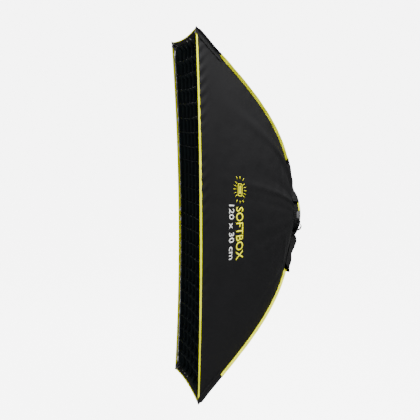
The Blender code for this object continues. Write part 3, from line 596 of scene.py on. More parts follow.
def wound(name, color, roughness):
    """Pulled glass fibre rod: long pale fibres under a clear resin."""
    made, tree, shader = new_finish(name, color, roughness, Coat_Weight=0.6, Coat_Roughness=0.12)
    fibres = noise(tree, 260.0, 3.0, "UV", (0.04, 1.0, 1.0))
    tree.links.new(mixed(tree, fit(tree, fibres, 0.0, 1.0, 0.45, 0.8), color, scaled(color, 3.0)),
                   shader.inputs["Base Color"])
    bump(tree, shader, fibres, 0.15, 0.0002)
    return made


RINGS = (1.0, 30.0, 1.0)
finishes.update({
    "bayonet": brushed("bayonet_steel", (0.60, 0.60, 0.61), 0.34, 24.0, RINGS),
    "keeper": brushed("keeper_steel", (0.06, 0.06, 0.062), 0.45, 60.0, None, 0.3),
    "screw": brushed("screw_steel", (0.62, 0.62, 0.62), 0.28, 300.0, None),
    "ring": brushed("ring_alloy", (0.235, 0.235, 0.24), 0.42, 30.0, RINGS, 0.85),
    "socket": brushed("socket_alloy", (0.48, 0.48, 0.49), 0.38, 120.0, None),
    "ferrule": brushed("ferrule_steel", (0.52, 0.52, 0.52), 0.3, 160.0, None),
    "cap": moulded("cap_plastic", (0.02, 0.02, 0.02), 0.5),
    "rod": wound("rod_fibreglass", (0.022, 0.022, 0.022), 0.38),
    "knob": moulded("knob_plastic", (0.018, 0.018, 0.019), 0.42, 900.0, 0.6),
    "pad": moulded("pad_nylon", (0.66, 0.65, 0.62), 0.5, Subsurface_Weight=0.2,
                   Subsurface_Scale=0.001),
    "yellow_ink": woven("print_yellow", (0.92, 0.88, 0.002), 0.00055, 0.5, 0.3, 1.05, cloud=60.0,
                         Specular_IOR_Level=0.06),
    "white_ink": woven("print_white", (0.78, 0.78, 0.76), 0.00055, 0.5, 0.3, 1.05, cloud=60.0),
    "floor": moulded("pale_floor", (0.45, 0.45, 0.45), 0.85, 90.0, 0.02),
})


def whiten(made, seen):
    """Let a stage surface look as white as the sky, without lighting anything from below."""
    tree = made.node_tree
    shader = tree.nodes["Principled BSDF"]
    shader.inputs["Emission Color"].default_value = (1, 1, 1, 1)
    ray = add(tree, "LightPath").outputs["Is Camera Ray"]
    tree.links.new(math_node(tree, "MULTIPLY", ray, seen), shader.inputs["Emission Strength"])


whiten(finishes["floor"], SKY_SEEN)
floor.data.materials.append(finishes["floor"])
print(len(finishes), "finishes made")

# %% [markdown]
# ## The four panels
# The shell is four pieces of black nylon with a silver coat inside. A cloth simulation would relax
# every fold away, because rods hold this cloth tight, so its folds are added as gentle lifts along
# its normals: long ones that fan out from the neck, level ones where it turns towards the ring, and
# short puckers beside the stitched edges. Each lift fades to nothing at the edges.

# %% Folds and puckers
PANEL_SEEDS = {"right": 5, "left": 8, "top": 13, "bottom": 21}
RIM_TAPE_WIDTH, SEAM_TAPE_WIDTH = 0.0070, 0.0082
PANEL_THICK = 0.0006
SLIT, SLIT_SHORT, SLIT_TAPER = 0.009, 0.015, 0.010
FLAP_START, FLAP_END = 0.005, 0.125


def fading(distance, width):
    """A hump beside an edge: zero on it, highest one width away, and gone a few widths further."""
    x = np.maximum(distance, 0) / width
    return x * np.exp(1 - x)


def ripple(side, s, t):
    """Lift of the cloth off its smooth surface at shares s and t, in metres."""
    s, t = np.broadcast_arrays(np.asarray(s, float), np.asarray(t, float))
    rng = np.random.default_rng(PANEL_SEEDS[side])
    size = 1.0 if side in ("right", "left") else 0.6
    lift = np.zeros(s.shape)
    for _ in range(18):
        middle, spread, tilt = rng.uniform(0.05, 0.95), rng.uniform(0.012, 0.035), rng.uniform(-0.10, 0.10)
        tall, reach = rng.normal(0, 0.0032), rng.uniform(0.45, 1.10)
        line = middle + tilt * (t - 0.2)
        lift += tall * np.exp(-((s - line) / spread) ** 2) * np.clip(1 - t / reach, 0, 1) ** 1.5
    for _ in range(7):
        height, spread, middle = rng.uniform(0.05, 0.42), rng.uniform(0.012, 0.026), rng.uniform(0.2, 0.8)
        tall, slope = rng.normal(0, 0.0019), rng.uniform(-0.08, 0.08)
        off = t - height - slope * (s - middle)
        lift += tall * np.exp(-(off / spread) ** 2 - ((s - middle) / 0.14) ** 2)
    width = side_length(side, t)
    to_seam = np.minimum(s, 1 - s) * width
    to_rim = SEAM_LENGTH - np.interp(t, SHARES, SEAM_RUN) - RIM_TAPE_WIDTH
    lift = lift * size
    for distance, soft in ((to_seam, 0.035), (to_rim, 0.05), (t, 0.03)):
        lift = lift * np.clip(distance / soft, 0, 1)
    seed = PANEL_SEEDS[side]
    by_rim = 0.0013 * swells(s * width, 3, 0.026, 0.047, seed + 1) * fading(to_rim, 0.009)
    by_seam = 0.0010 * swells(t * SEAM_LENGTH, 3, 0.016, 0.030, seed + 2) * fading(to_seam - 0.001, 0.006)
    return lift + by_rim * np.clip(to_seam / 0.02, 0, 1) + by_seam


def cloth_point(side, s, t, lift=0.0):
    """A panel's outer face with its folds, raised by lift along the normal."""
    return panel_point(side, s, t) + (ripple(side, s, t) + lift)[..., None] * panel_normal(side, s, t)


# %% Panels
ROW_STEP, EDGE_GAP = 0.005, 0.0004


def panel_grid(side, columns):
    """Rows follow the seam from neck to rim. Each row runs between two edges that stand back from the
    seam by a slit under the flap, which closes over a short taper."""
    run = np.linspace(0, SEAM_LENGTH, int(SEAM_LENGTH / ROW_STEP))[:, None]
    t = seam_at(run)
    open_share = np.clip((FLAP_END - SLIT_SHORT + SLIT_TAPER - run) / SLIT_TAPER, 0, 1)
    edge = (EDGE_GAP + (SLIT - EDGE_GAP) * open_share) / side_length(side, t)
    s = edge + (1 - 2 * edge) * np.linspace(0, 1, columns)[None]
    return s, t


for side, columns in (("right", 221), ("left", 221), ("top", 61), ("bottom", 61)):
    s, t = panel_grid(side, columns)
    piece = surface(f"shell_{side}", [cloth_point(side, s, t)], [finishes["shell"], finishes["lining"]],
                    f"panel_{side}", thick=PANEL_THICK)
    smooth = panel_point(side, s, t)
    cut = float(side_length(side, 1)), float(SEAM_LENGTH)
    cloth_sheet(piece, cut, area_of(smooth))

# %% [markdown]
# ## Stitches
# A row of stitches could be a dotted bump, but thread is what the eye looks for on sewn goods. Each
# stitch is a tiny spindle of eight faces laid into the cloth, and one array makes the whole row.

# %% Stitch rows
STITCH, STITCH_GAP, THREAD = 0.0030, 0.0012, 0.00045


def resampled(line, step):
    """Points at equal steps along a line, with its directions there."""
    run = walked(line)
    marks = np.arange(step / 2, run[-1], step)
    spot = lambda marks: np.stack([np.interp(marks, run, line[:, k]) for k in range(3)], -1)
    return spot(marks), unit(spot(marks + step / 4) - spot(marks - step / 4))


def stitch_rows(name, rows, look, body="softbox"):
    """rows are (line, outward) pairs. Each stitch is an octahedron: two tips a stitch apart along the
    line, and four points round its middle, a thread's radius out."""
    tips = np.array([(-1, 0, 0), (0, 1, 0), (0, 0, 1), (0, -1, 0), (0, 0, -1), (1, 0, 0)], float)
    tips = tips * (STITCH / 2, THREAD, THREAD)
    cells = [(0, 2, 1), (0, 3, 2), (0, 4, 3), (0, 1, 4), (5, 1, 2), (5, 2, 3), (5, 3, 4), (5, 4, 1)]
    verts, faces, total = [], [], 0
    for line, outward in rows:
        spots, along = resampled(line, STITCH + STITCH_GAP)
        run = walked(line)
        marks = walked(spots) + (STITCH + STITCH_GAP) / 2
        out = unit(np.stack([np.interp(marks, run, outward[:, k]) for k in range(3)], -1))
        side = np.cross(along, out)
        frames = np.stack([along, side, out], 1)
        points = spots[:, None] + tips @ frames
        verts.append(points.reshape(-1, 3))
        shift = total + 6 * np.arange(len(spots))[:, None, None]
        faces.append((np.array(cells)[None] + shift).reshape(-1, 3))
        total += 6 * len(spots)
    verts, faces = np.concatenate(verts), np.concatenate(faces)
    along = walked(verts[faces], 1)
    mesh = mesh_of(name, verts, faces, np.stack([along, 0 * along], -1))
    return piece_of(name, mesh, look, body=body)


print("a stitch is", STITCH * 1000, "mm long, and a row repeats every", (STITCH + STITCH_GAP) * 1000, "mm")

# %% [markdown]
# ## Yellow binding along the seams
# Where two panels meet, their raw edges are wrapped in one folded tape, which stands up as a fin.
# A box with a yellow face would look right from afar only. Here the tape is a real folded strip:
# a U that is carried along the seam and wanders a little, as sewn tape does.

# %% Seam fins
TAPE_GAP, TAPE_CLOTH = 0.0006, 0.0005
POCKET_LENGTH = 0.118
FOLD_STEPS = 7


def folded(height, half_gap):
    """Outline of a folded tape in (sideways, upwards): a leg and half a round fold, then their mirror
    image."""
    turn = np.linspace(0, pi / 2, FOLD_STEPS)
    bend = np.stack([half_gap * np.cos(turn), height - half_gap + half_gap * np.sin(turn)], -1)
    leg = np.stack([np.full(4, half_gap), np.linspace(0.0006, height - half_gap * 2, 4)], -1)
    half = np.concatenate([leg, bend])
    return np.concatenate([half, (half * (-1, 1))[::-1][1:]])


def over_ridge(t, legs, lift, outline_steps=8):
    """Legs of a piece that lies over a seam: points on the right panel from the leg's edge to near
    the ridge, and the same on the top panel."""
    sides = []
    for side, leg, ends in (("right", legs[0], (1, 0.10)), ("top", legs[1], (0.10, 1))):
        s = 1 - np.linspace(*ends, outline_steps)[None] * leg / side_length(side, t)[:, None]
        sides.append(panel_point(side, s, t[:, None]) + lift * panel_normal(side, s, t[:, None]))
    return sides


FOOT_LEG, FOOT_LIFT = 0.0026, 0.0005
STITCH_HEIGHT = 0.0024

for number, (corner, mirror) in enumerate(CORNERS.items()):
    runs = np.arange(FLAP_END - 0.006, SEAM_LENGTH - POCKET_LENGTH + 0.004, 0.004)
    point, along, out = ridge_frame(seam_at(runs))
    side = unit(np.cross(along, out))
    lean = 0.10 * swells(runs, 3, 0.05, 0.13, 30 + number)[:, None]
    upward = unit(out + lean * side)
    outline = folded(SEAM_TAPE_WIDTH + 0.0006, TAPE_GAP + TAPE_CLOTH / 2)
    side = side * np.sign((side * (1, 0, -1)).sum(-1, keepdims=True))
    low, high = over_ridge(seam_at(runs), (FOOT_LEG, FOOT_LEG), FOOT_LIFT, 4)
    grid = np.concatenate([low, carried(point, side, upward, outline), high], 1) * mirror
    fin = surface(f"seam_binding_{corner}", [grid], finishes["binding"], f"seam_tape_{corner}",
                  thick=TAPE_CLOTH, sink=0.0)
    line = point + STITCH_HEIGHT * upward
    off = (TAPE_GAP + TAPE_CLOTH) * side
    rows = [((line + way * off) * mirror, way * side * mirror) for way in (-1, 1)]
    sewing = stitch_rows(f"seam_stitches_{corner}", rows, finishes["thread"])
    cloth_sheet(fin, (2 * (SEAM_TAPE_WIDTH + FOOT_LEG), float(runs[-1] - runs[0])))

# %% [markdown]
# ## Yellow binding round the rim
# The same tape closes the front edge: one leg outside the panel, a round fold, one leg inside. It
# follows the panel's own surface, so that it bends with the edge, and it waves a little between its
# stitches.

# %% Rim bindings
RIM_START = 0.014
INNER_LEG = {"right": 0.0080, "left": 0.0080, "top": 0.0035, "bottom": 0.0050}
FACING_EDGE, FACING_REAR, FACING_LAP, FACING_SINK = 0.07, 0.017, 0.001, 0.0014


def behind_rim(side, s, back):
    """The share t at a distance back from the rim, by the panel's own length per share there."""
    speed = np.linalg.norm(panel_point(side, s, 1.0) - panel_point(side, s, 0.99), axis=-1) / 0.01
    return 1 - np.maximum(back, 0)[None] / speed


def rim_binding(side, steps):
    """Rows along the rim. Across, the outline goes from the outer leg's edge forwards to the rim,
    round it, and back along the inside: distance back from the rim, and height off the panel."""
    length = float(side_length(side, 1))
    s = np.linspace(RIM_START / length, 1 - RIM_START / length, steps)[:, None]
    turn = np.linspace(pi / 2, -pi / 2, FOLD_STEPS)
    half = PANEL_THICK / 2 + TAPE_CLOTH / 2 + 0.0002
    back = np.concatenate([np.linspace(RIM_TAPE_WIDTH, 0.0008, 6), -half * np.cos(turn) + 0.0004,
                           np.linspace(0.0008, INNER_LEG[side], 6)])
    high = np.concatenate([np.full(6, half), half * np.sin(turn), np.full(6, -half)]) - PANEL_THICK / 2
    wave = 0.00035 * swells(s * length, 3, 0.022, 0.05, PANEL_SEEDS[side] + 1)
    puff = wave * np.clip(back / RIM_TAPE_WIDTH, 0, 1)
    t = behind_rim(side, s, back)
    base = panel_point(side, s, t)
    forward = unit(panel_point(side, s, 1.0) - panel_point(side, s, 0.98))
    normal = panel_normal(side, s, t)
    return base + (high + puff)[..., None] * normal - np.minimum(back, 0)[None, :, None] * forward, normal


for side, steps in (("right", 301), ("left", 301), ("top", 81), ("bottom", 81)):
    grid, normal = rim_binding(side, steps)
    tape = surface(f"rim_binding_{side}", [grid], finishes["binding"], f"rim_tape_{side}",
                   thick=TAPE_CLOTH, sink=0.0)
    outer = (grid[:, 1] + TAPE_CLOTH / 2 * normal[:, 1], normal[:, 1])
    inner = (grid[:, -2] - TAPE_CLOTH / 2 * normal[:, -2], -normal[:, -2])
    sewing = stitch_rows(f"rim_stitches_{side}", [outer, inner], finishes["thread"])
    length = float(side_length(side, 1)) - 2 * RIM_START
    cloth_sheet(tape, (RIM_TAPE_WIDTH + INNER_LEG[side] + 0.002, length))
    if side in ("top", "bottom"):
        s = np.linspace(FACING_EDGE, 1 - FACING_EDGE, 61)[:, None]
        t = behind_rim(side, s, np.linspace(FACING_REAR, INNER_LEG[side] - FACING_LAP, 6))
        facing = panel_point(side, s, t) - FACING_SINK * panel_normal(side, s, t)
        cover = surface(f"rim_facing_{side}", [facing], finishes["trim"], thick=0.0005)
        wide = (1 - 2 * FACING_EDGE) * float(side_length(side, 1))
        cloth_sheet(cover, (wide, FACING_REAR + FACING_LAP - INNER_LEG[side]))

# %% [markdown]
# ## Corner pockets
# The rods end in caps that push into reinforced corners. Each is a black patch folded over the
# seam: a leg on both panels and, between them, a sewn fin that carries on the line of the yellow
# one. Its front end is drawn together into a small pointed ear.

# %% Pockets
POCKET_LEG, POCKET_LIFT, POCKET_CLOTH = 0.017, 0.0010, 0.0008
NOSE_STEPS, NOSE_REACH = 5, 0.003
POCKET_RUNS = np.linspace(SEAM_LENGTH - POCKET_LENGTH, SEAM_LENGTH, 34)


def pocket_grid(seed):
    """Leg, fin and leg across; rows run along the seam and then shrink towards the ear's tip."""
    t = seam_at(POCKET_RUNS)
    point, along, out = ridge_frame(t)
    side = unit(np.cross(along, out))
    side = side * np.sign((side * (1, 0, -1)).sum(-1, keepdims=True))
    lean = 0.12 * swells(POCKET_RUNS, 2, 0.04, 0.09, seed)[:, None]
    low, high = over_ridge(t, (POCKET_LEG, POCKET_LEG), POCKET_LIFT)
    taper = np.clip((SEAM_LENGTH - POCKET_RUNS) / 0.012, 0.55, 1)
    height = ((SEAM_TAPE_WIDTH - 0.0006) * taper)[:, None]
    fin = carried(point + 0.0004 * out, side * height * 1.1, unit(out + lean * side) * height,
                  folded(1.0, 0.11))
    grid = np.concatenate([low, fin, high], 1)
    shrink = np.linspace(0.75, 0.04, NOSE_STEPS)[:, None, None]
    tip = point[-1] + 0.0030 * out[-1]
    ahead = along[-1] * NOSE_REACH * (1 - shrink)
    nose = tip + (grid[-1:] - tip) * shrink + ahead
    return np.concatenate([grid, nose]), grid, out


for number, (corner, mirror) in enumerate(CORNERS.items()):
    grid, body_rows, out = pocket_grid(50 + number)
    pocket = surface(f"pocket_{corner}", [grid * mirror], finishes["trim"], f"corner_pocket_{corner}",
                     thick=POCKET_CLOTH, sink=0.0)
    rows = []
    for column, panel in ((1, "right"), (-2, "top")):
        normal = panel_normal(panel, 1.0, seam_at(POCKET_RUNS))
        rows.append(((body_rows[:, column] + POCKET_CLOTH / 2 * normal) * mirror, normal * mirror))
    across = body_rows[1]
    rows.append(((across[1:7] + 0.0004 * out[1]) * mirror, np.repeat(out[1:2], 6, 0) * mirror))
    sewing = stitch_rows(f"pocket_stitches_{corner}", rows, finishes["dark_thread"])
    cloth_sheet(pocket, (2 * POCKET_LEG + 2 * SEAM_TAPE_WIDTH, POCKET_LENGTH))

# %% [markdown]
# ## Access flaps
# Near the ring each seam is slit, so that a hand can push the rod's end into its socket, and a flap
# covers the slit. It is sewn to the long panel and sticks down on the short one, and it bulges over
# the socket. The lower two bulge more, because the cloth hangs away from the rods there.

# %% Flaps
FLAP_LEGS = 0.032, 0.026
FLAP_LIFT, FLAP_CLOTH, FLAP_HEM = 0.0016, 0.0009, 0.0065
FLAP_CROWN = {"top": ((0, 0.2, 0.5, 0.75, 1), (0.019, 0.0135, 0.0110, 0.0105, 0.0075)),
              "bottom": ((0, 0.3, 0.5, 0.75, 1), (0.029, 0.0265, 0.0150, 0.0175, 0.0180))}
ACROSS = 33


def smooth_across(controls, count):
    """A Catmull-Rom curve through five control columns, each a row of points along the seam."""
    ends = [2 * controls[0] - controls[1], *controls, 2 * controls[-1] - controls[-2]]
    p = np.stack(ends)
    x = np.linspace(0, len(controls) - 1, count)
    k = np.minimum(x.astype(int), len(controls) - 2)
    w = (x - k)[:, None, None]
    a, b, c, d = p[k], p[k + 1], p[k + 2], p[k + 3]
    curve = 0.5 * (2 * b + (c - a) * w + (2 * a - 5 * b + 4 * c - d) * w**2
                   + (3 * b - a - 3 * c + d) * w**3)
    return curve.transpose(1, 0, 2)


def flap_grid(level, seed):
    """Five lines along the seam, two on each panel and a crown over the ridge, joined by smooth arches.
    The crown swells and sinks in soft folds, and every edge has a turned hem that stands proud."""
    runs = np.linspace(FLAP_START, FLAP_END, 49)
    share = np.linspace(0, 1, 49)
    t = seam_at(runs)
    point, _, out = ridge_frame(t)
    crown = np.interp(share, *FLAP_CROWN[level]) * (1 + 0.06 * swells(runs, 2, 0.03, 0.06, seed))
    columns = []
    for side, leg in (("right", FLAP_LEGS[0]), ("top", FLAP_LEGS[1])):
        for part in (1, 0.5) if side == "right" else (0.5, 1):
            s = 1 - part * leg / side_length(side, t)
            rise = FLAP_LIFT + (1 - part) * crown * 1.15
            columns.append(panel_point(side, s, t) + rise[:, None] * panel_normal(side, s, t))
    columns.insert(2, point + (FLAP_LIFT + crown)[:, None] * out)
    grid = smooth_across(columns, ACROSS)
    w = np.linspace(0, 1, ACROSS)[None]
    folds = 0.0010 * swells(runs[:, None] + 0.02 * w, 3, 0.030, 0.070, seed + 1) * np.sin(pi * w) ** 0.8
    to_end = np.minimum(share, 1 - share)[:, None] * (FLAP_END - FLAP_START)
    border = np.minimum(np.minimum(w, 1 - w) * 0.06, to_end)
    hem = 0.0005 / (1 + np.exp((border - FLAP_HEM) / 0.0005))
    normal = unit(np.cross(np.gradient(grid, axis=0), np.gradient(grid, axis=1)))
    normal = normal * np.sign((normal * out[:, None]).sum(-1, keepdims=True))
    return grid + (folds + hem)[..., None] * normal, normal


for number, (corner, mirror) in enumerate(CORNERS.items()):
    grid, normal = flap_grid(corner.split("_")[0], 70 + 3 * number)
    body = f"flap_{corner}"
    flap = surface(f"flap_cloth_{corner}", [grid * mirror], finishes["trim"], f"access_flap_{corner}",
                   body, thick=FLAP_CLOTH, sink=0.0)
    raised = (grid + FLAP_CLOTH / 2 * normal) * mirror
    turned_out = normal * mirror
    rows = [(raised[:, k], turned_out[:, k]) for k in (1, 3, ACROSS - 3)]
    rows += [(raised[k], turned_out[k]) for k in (2, -3)]
    sewing = stitch_rows(f"flap_stitches_{corner}", rows, finishes["dark_thread"], body)
    under = np.s_[8:41, ACROSS - 9:ACROSS - 3]
    patch = (grid[under] - 0.0011 * normal[under]) * mirror
    grip = surface(f"flap_hook_patch_{corner}", [patch], finishes["hook"], body=body,
                   thick=0.0007)
    cloth_sheet(flap, (sum(FLAP_LEGS) + 0.006, FLAP_END - FLAP_START))
print("crowns over the seam, m:", {level: sizes for level, (_, sizes) in FLAP_CROWN.items()})

# %% [markdown]
# ## The neck
# The tent is gathered onto the metal ring by a band of black elastic, finished with a yellow folded
# hem. A plain tube would look like pipe, so the band puckers where it was stretched while sewn, and
# it is lowered at one place, where the ring shows. Next to that gap sit a black patch and its loop.

# %% Neck band
RING_RADIUS, RING_REAR, RING_FRONT = 0.085, -0.0043, -0.0223
BAND_RADIUS, BAND_CLOTH = 0.0868, 0.0010
BAND_REAR, BAND_FRONT = -0.0030, -0.0270
GAP_START, GAP_END = radians(79), radians(97)
PATCH_END, LOOP_ANGLE = radians(128), radians(117)
KNOB_ANGLE, KNOB_LEVEL = radians(270), -0.0133


def about_neck(angle, radius, y):
    """A point round the lamp's axis, at an angle from +Z towards +X."""
    return join(radius * np.sin(angle), y, radius * np.cos(angle))


def lowered(angle):
    """1 inside the gap where the ring shows, 0 outside, with a short smooth step between."""
    soft = radians(1.2)
    return 1 / (1 + np.exp(-(angle - GAP_START) / soft * 3)) / (1 + np.exp((angle - GAP_END) / soft * 3))


def band_grid():
    """Rows run from a flange over the panels' edge, round a bend, and back along the ring. Puckers are
    short waves of the angle that die out at the hem."""
    angle = np.linspace(0, 2 * pi, 720, endpoint=False)[None]
    share = np.linspace(0, 1, 30)[:, None]
    rear = BAND_REAR - 0.0125 * lowered(angle)
    bend = 0.0012
    flange = np.linspace(0.0905, BAND_RADIUS + bend, 5)[:, None]
    turn = np.linspace(0, pi / 2, 5)[1:, None]
    radius = np.concatenate([flange + 0 * angle, BAND_RADIUS + bend * (1 - np.sin(turn)) + 0 * angle,
                             BAND_RADIUS + 0 * share * angle])
    y = np.concatenate([BAND_FRONT - 0.0003 + 0 * flange * angle,
                        BAND_FRONT + bend * (1 - np.cos(turn)) + 0 * angle,
                        BAND_FRONT + bend + (rear - BAND_FRONT - bend) * share])
    away = np.clip((-0.0085 - y) / 0.005, 0, 1)
    pucker = 0.00035 * swells(angle * BAND_RADIUS, 3, 0.004, 0.008, 91) * away
    return about_neck(angle, radius + np.maximum(pucker, -0.0004) + 0.0003 * away, y)


def near_knob(points):
    """Where the knob's shaft passes through the band."""
    return (np.hypot(points[:, 1] - KNOB_LEVEL, points[:, 2]) < 0.0050) & (points[:, 0] < 0)


band = band_grid()
neck_cloth = surface("neck_cuff", [band], finishes["elastic"], "neck_band",
                     wrap=(False, True), thick=BAND_CLOTH, drop=near_knob)
cloth_sheet(neck_cloth, (0.029, 2 * pi * BAND_RADIUS), area_of(band))

# %% Neck hem
HEM_REAR, HEM_FRONT, HEM_IN, HEM_OUT = -0.0022, -0.0087, 0.0871, 0.0885


def hem_grid(start, end, steps, front=HEM_FRONT, grow=0.0):
    """A U carried round the neck: outer leg, a fold over the band's rear edge, inner leg."""
    angle = np.linspace(start, end, steps)[:, None]
    middle, half = (HEM_IN + HEM_OUT) / 2, (HEM_OUT - HEM_IN) / 2 - 0.00025 + grow
    turn = np.linspace(pi / 2, -pi / 2, FOLD_STEPS)
    shy = 0.0016 * np.exp(-(((angle - KNOB_ANGLE) * BAND_RADIUS) / 0.006) ** 2)
    leg = np.linspace(0, 1, 6)
    fold = HEM_REAR - half - 0.0003
    legs_y = front + shy + (fold - front - shy) * leg
    radius = np.concatenate([np.full(6, half), half * np.sin(turn), np.full(6, -half)]) + 0 * angle
    y = np.concatenate([legs_y, fold + half * np.cos(turn) + 0 * angle, legs_y[:, ::-1]], 1)
    wave = 0.00025 * swells(angle * BAND_RADIUS, 3, 0.010, 0.024, 93)
    return about_neck(angle, middle + radius + np.maximum(wave, -0.0002), y)


HEM_ARCS = (radians(56), GAP_START), (radians(238), radians(302))
hems = [hem_grid(start, end, int((end - start) * 90)) for start, end in HEM_ARCS]
neck_tape = surface("neck_binding", hems, finishes["binding"], "neck_hem",
                    thick=TAPE_CLOTH, sink=0.0)
spokes = [unit(grid[:, 1] * (1, 0, 1)) for grid in hems]
stitch_lines = [(grid[:, 1] + TAPE_CLOTH / 2 * spoke, spoke) for grid, spoke in zip(hems, spokes)]
hem_sewing = stitch_rows("neck_stitches", stitch_lines, finishes["thread"])
hem_length = sum(end - start for start, end in HEM_ARCS) * HEM_OUT
cloth_sheet(neck_tape, (0.0135, float(hem_length)))

# %% Patch and webbing loop
LOOP_SPAN, LOOP_HEIGHT, LOOP_WIDTH, LOOP_LEVEL = 0.026, 0.0155, 0.006, -0.0100


def patch_grid():
    """A flat U like the hem's, a little thicker, of black webbing."""
    return hem_grid(GAP_END, PATCH_END, 60, -0.0105, 0.0002)


def loop_grid():
    """A strap's arch, which stands out behind the neck. Its middle line is a superellipse,
    |x|^2.6 + |h|^2.6 = 1, and its ends run on forwards under the patch."""
    turn = np.linspace(0, pi, 40)
    x = np.sign(np.cos(turn)) * np.abs(np.cos(turn)) ** (2 / 2.6) * (LOOP_SPAN / 2 - 0.001)
    h = np.abs(np.sin(turn)) ** (2 / 2.6) * (LOOP_HEIGHT - 0.002)
    foot = np.linspace(1, 0, 5)[:-1] * 0.004
    x = np.concatenate([x[0] + 0 * foot, x, x[-1] + 0 * foot])
    h = np.concatenate([-foot, h, -foot[::-1]])
    across = np.linspace(-LOOP_WIDTH / 2, LOOP_WIDTH / 2, 7)[None]
    angle = LOOP_ANGLE + x / BAND_RADIUS
    return about_neck(angle[:, None], HEM_OUT + 0.0038 + across + 0 * h[:, None], LOOP_LEVEL + h[:, None])


COVER_ARCS = {"upper": (radians(-59), radians(60)), "lower": (radians(127), radians(239))}
COVER_RADII = 0.0950, 0.0946, 0.0938, 0.0926, 0.0908, 0.0897, 0.0888, 0.0876, 0.0868
COVER_LEVELS = -0.0292, -0.0240, -0.0180, -0.0120, -0.0065, -0.0038, -0.0019, -0.0014, -0.0019


def cover_grid(start, end, seed):
    """Black cloth gathered over the elastic: an outline (radius, y) carried along an arc. It swells at
    its two ends, and its gathers are short waves that fade towards the rear edge."""
    steps = int((end - start) * 130)
    angle = np.linspace(start, end, steps)[:, None]
    fine = np.linspace(0, 1, 25)
    spread = np.linspace(0, 1, len(COVER_RADII))
    radius, y = (np.interp(fine, spread, values)[None] for values in (COVER_RADII, COVER_LEVELS))
    loose = np.clip((-0.0015 - y) / 0.012, 0, 1)
    near_end = np.exp(-((angle - start) / radians(15)) ** 2) + np.exp(-((end - angle) / radians(15)) ** 2)
    gathers = 0.0009 * swells(angle * BAND_RADIUS, 4, 0.006, 0.016, seed) * loose
    return about_neck(angle, radius + gathers + 0.0045 * near_end * loose, y + 0 * angle)


for number, (level, (start, end)) in enumerate(COVER_ARCS.items()):
    grid = cover_grid(start, end, 120 + number)
    cover = surface(f"neck_cover_{level}", [grid], finishes["trim"], thick=0.0006)
    cloth_sheet(cover, (0.034, float((end - start) * 0.093)))

patch = surface("neck_patch", [patch_grid()], finishes["trim"], thick=0.0006, sink=0.0)
cloth_sheet(patch, (0.0175, float((PATCH_END - GAP_END) * HEM_OUT)))
surface("neck_strap_loop", [loop_grid()], finishes["trim"], "neck_loop", thick=0.0018,
        sink=0.0)
print("gap in the hem:", round((GAP_END - GAP_START) * HEM_OUT * 1000), "mm")

# %% [markdown]
# ## Layers inside the front
# Looking into the box, four things follow one another: a tape of small hooks round the rim, the grid
# with its border, a second hook tape, and the white diffuser. The border strips follow the panels,
# so they are worked out on the same patch, on a loop with its corners cut to clear the rods.

# %% Sections across the tent
CORNER_CUT, CORNER_EASE, LOOP_STEP = 0.028, 0.010, 0.006


def section_point(t, u, v):
    """A patch across the tent: sides + ends - corners, each blended by the shares u and v."""
    u, v = np.broadcast_arrays(np.asarray(u, float), np.asarray(v, float))
    a, b = u[..., None], v[..., None]
    sides = (1 - a) * panel_point("left", v, t) + a * panel_point("right", v, t)
    ends = (1 - b) * panel_point("bottom", u, t) + b * panel_point("top", u, t)
    seam = seam_point(t)
    corners = [(2 * a - 1) * seam[0], 0 * a + seam[1], (2 * b - 1) * seam[2]]
    return sides + ends - np.concatenate(corners, -1)


def station(depth):
    """The share t at which the seams lie that far behind the rim."""
    return float(np.interp(depth, (seam_point(SHARES)[:, 1] + DEPTH)[::-1], SHARES[::-1]))


def inset(t, distance):
    """The shares of width and height that a distance inside the panels takes."""
    slope_x = min(panel_normal("right", s, t)[0] for s in (0.1, 0.5))
    slope_z = min(panel_normal("top", s, t)[2] for s in (0.1, 0.5))
    return distance / slope_x / side_length("top", t), distance / slope_z / side_length("right", t)


def loop_line(depth, distance):
    """Even points round a section: a rectangle with its corners cut straight and then eased."""
    t = station(depth)
    (u0, v0), size = inset(t, distance), np.array([side_length("top", t), side_length("right", t)])
    cut_u, cut_v = CORNER_CUT / size
    quarter = [(1 - u0, 1 - v0 - cut_v), (1 - u0 - cut_u, 1 - v0)]
    corners = quarter + [(1 - u, v) for u, v in quarter[::-1]]
    corners += [(u, 1 - v) for u, v in corners[::-1]]
    line = eased(np.array(corners) * size, CORNER_EASE)
    line = np.concatenate([line, line[:1]])
    run = walked(line)
    marks = np.linspace(0, run[-1], int(run[-1] / LOOP_STEP), endpoint=False)
    u, v = (np.interp(marks, run, line[:, k]) / size[k] for k in (0, 1))
    return section_point(t, u, v)


def inner_strip(name, node, front, rear, reach, look, seed, body="softbox"):
    """A strip round the tent's inside, between two depths. Its loose waves are a fraction of a
    millimetre, and every ring has as many points as the front one."""
    rings = []
    line = loop_line(front, reach[0])
    run = walked(np.concatenate([line, line[:1]]))[:-1]
    waves = 0.00012 * np.maximum(swells(run, 3, 0.03, 0.08, seed), 0)[:, None]
    for depth in np.linspace(front, rear, 9):
        ring = loop_line(depth, reach[0])
        marks = np.linspace(0, len(ring), len(line), endpoint=False)
        closed = np.concatenate([ring, ring[:1]])
        ring = np.stack([np.interp(marks, np.arange(len(closed)), closed[:, k]) for k in range(3)], -1)
        rings.append(ring + waves * unit(-ring * (1, 0, 1)))
    grid = np.stack(rings)
    piece = surface(name, [grid], look, node, body, (False, True), thick=reach[1] - reach[0])
    cloth_sheet(piece, (rear - front, float(run[-1] + LOOP_STEP)), area_of(grid))


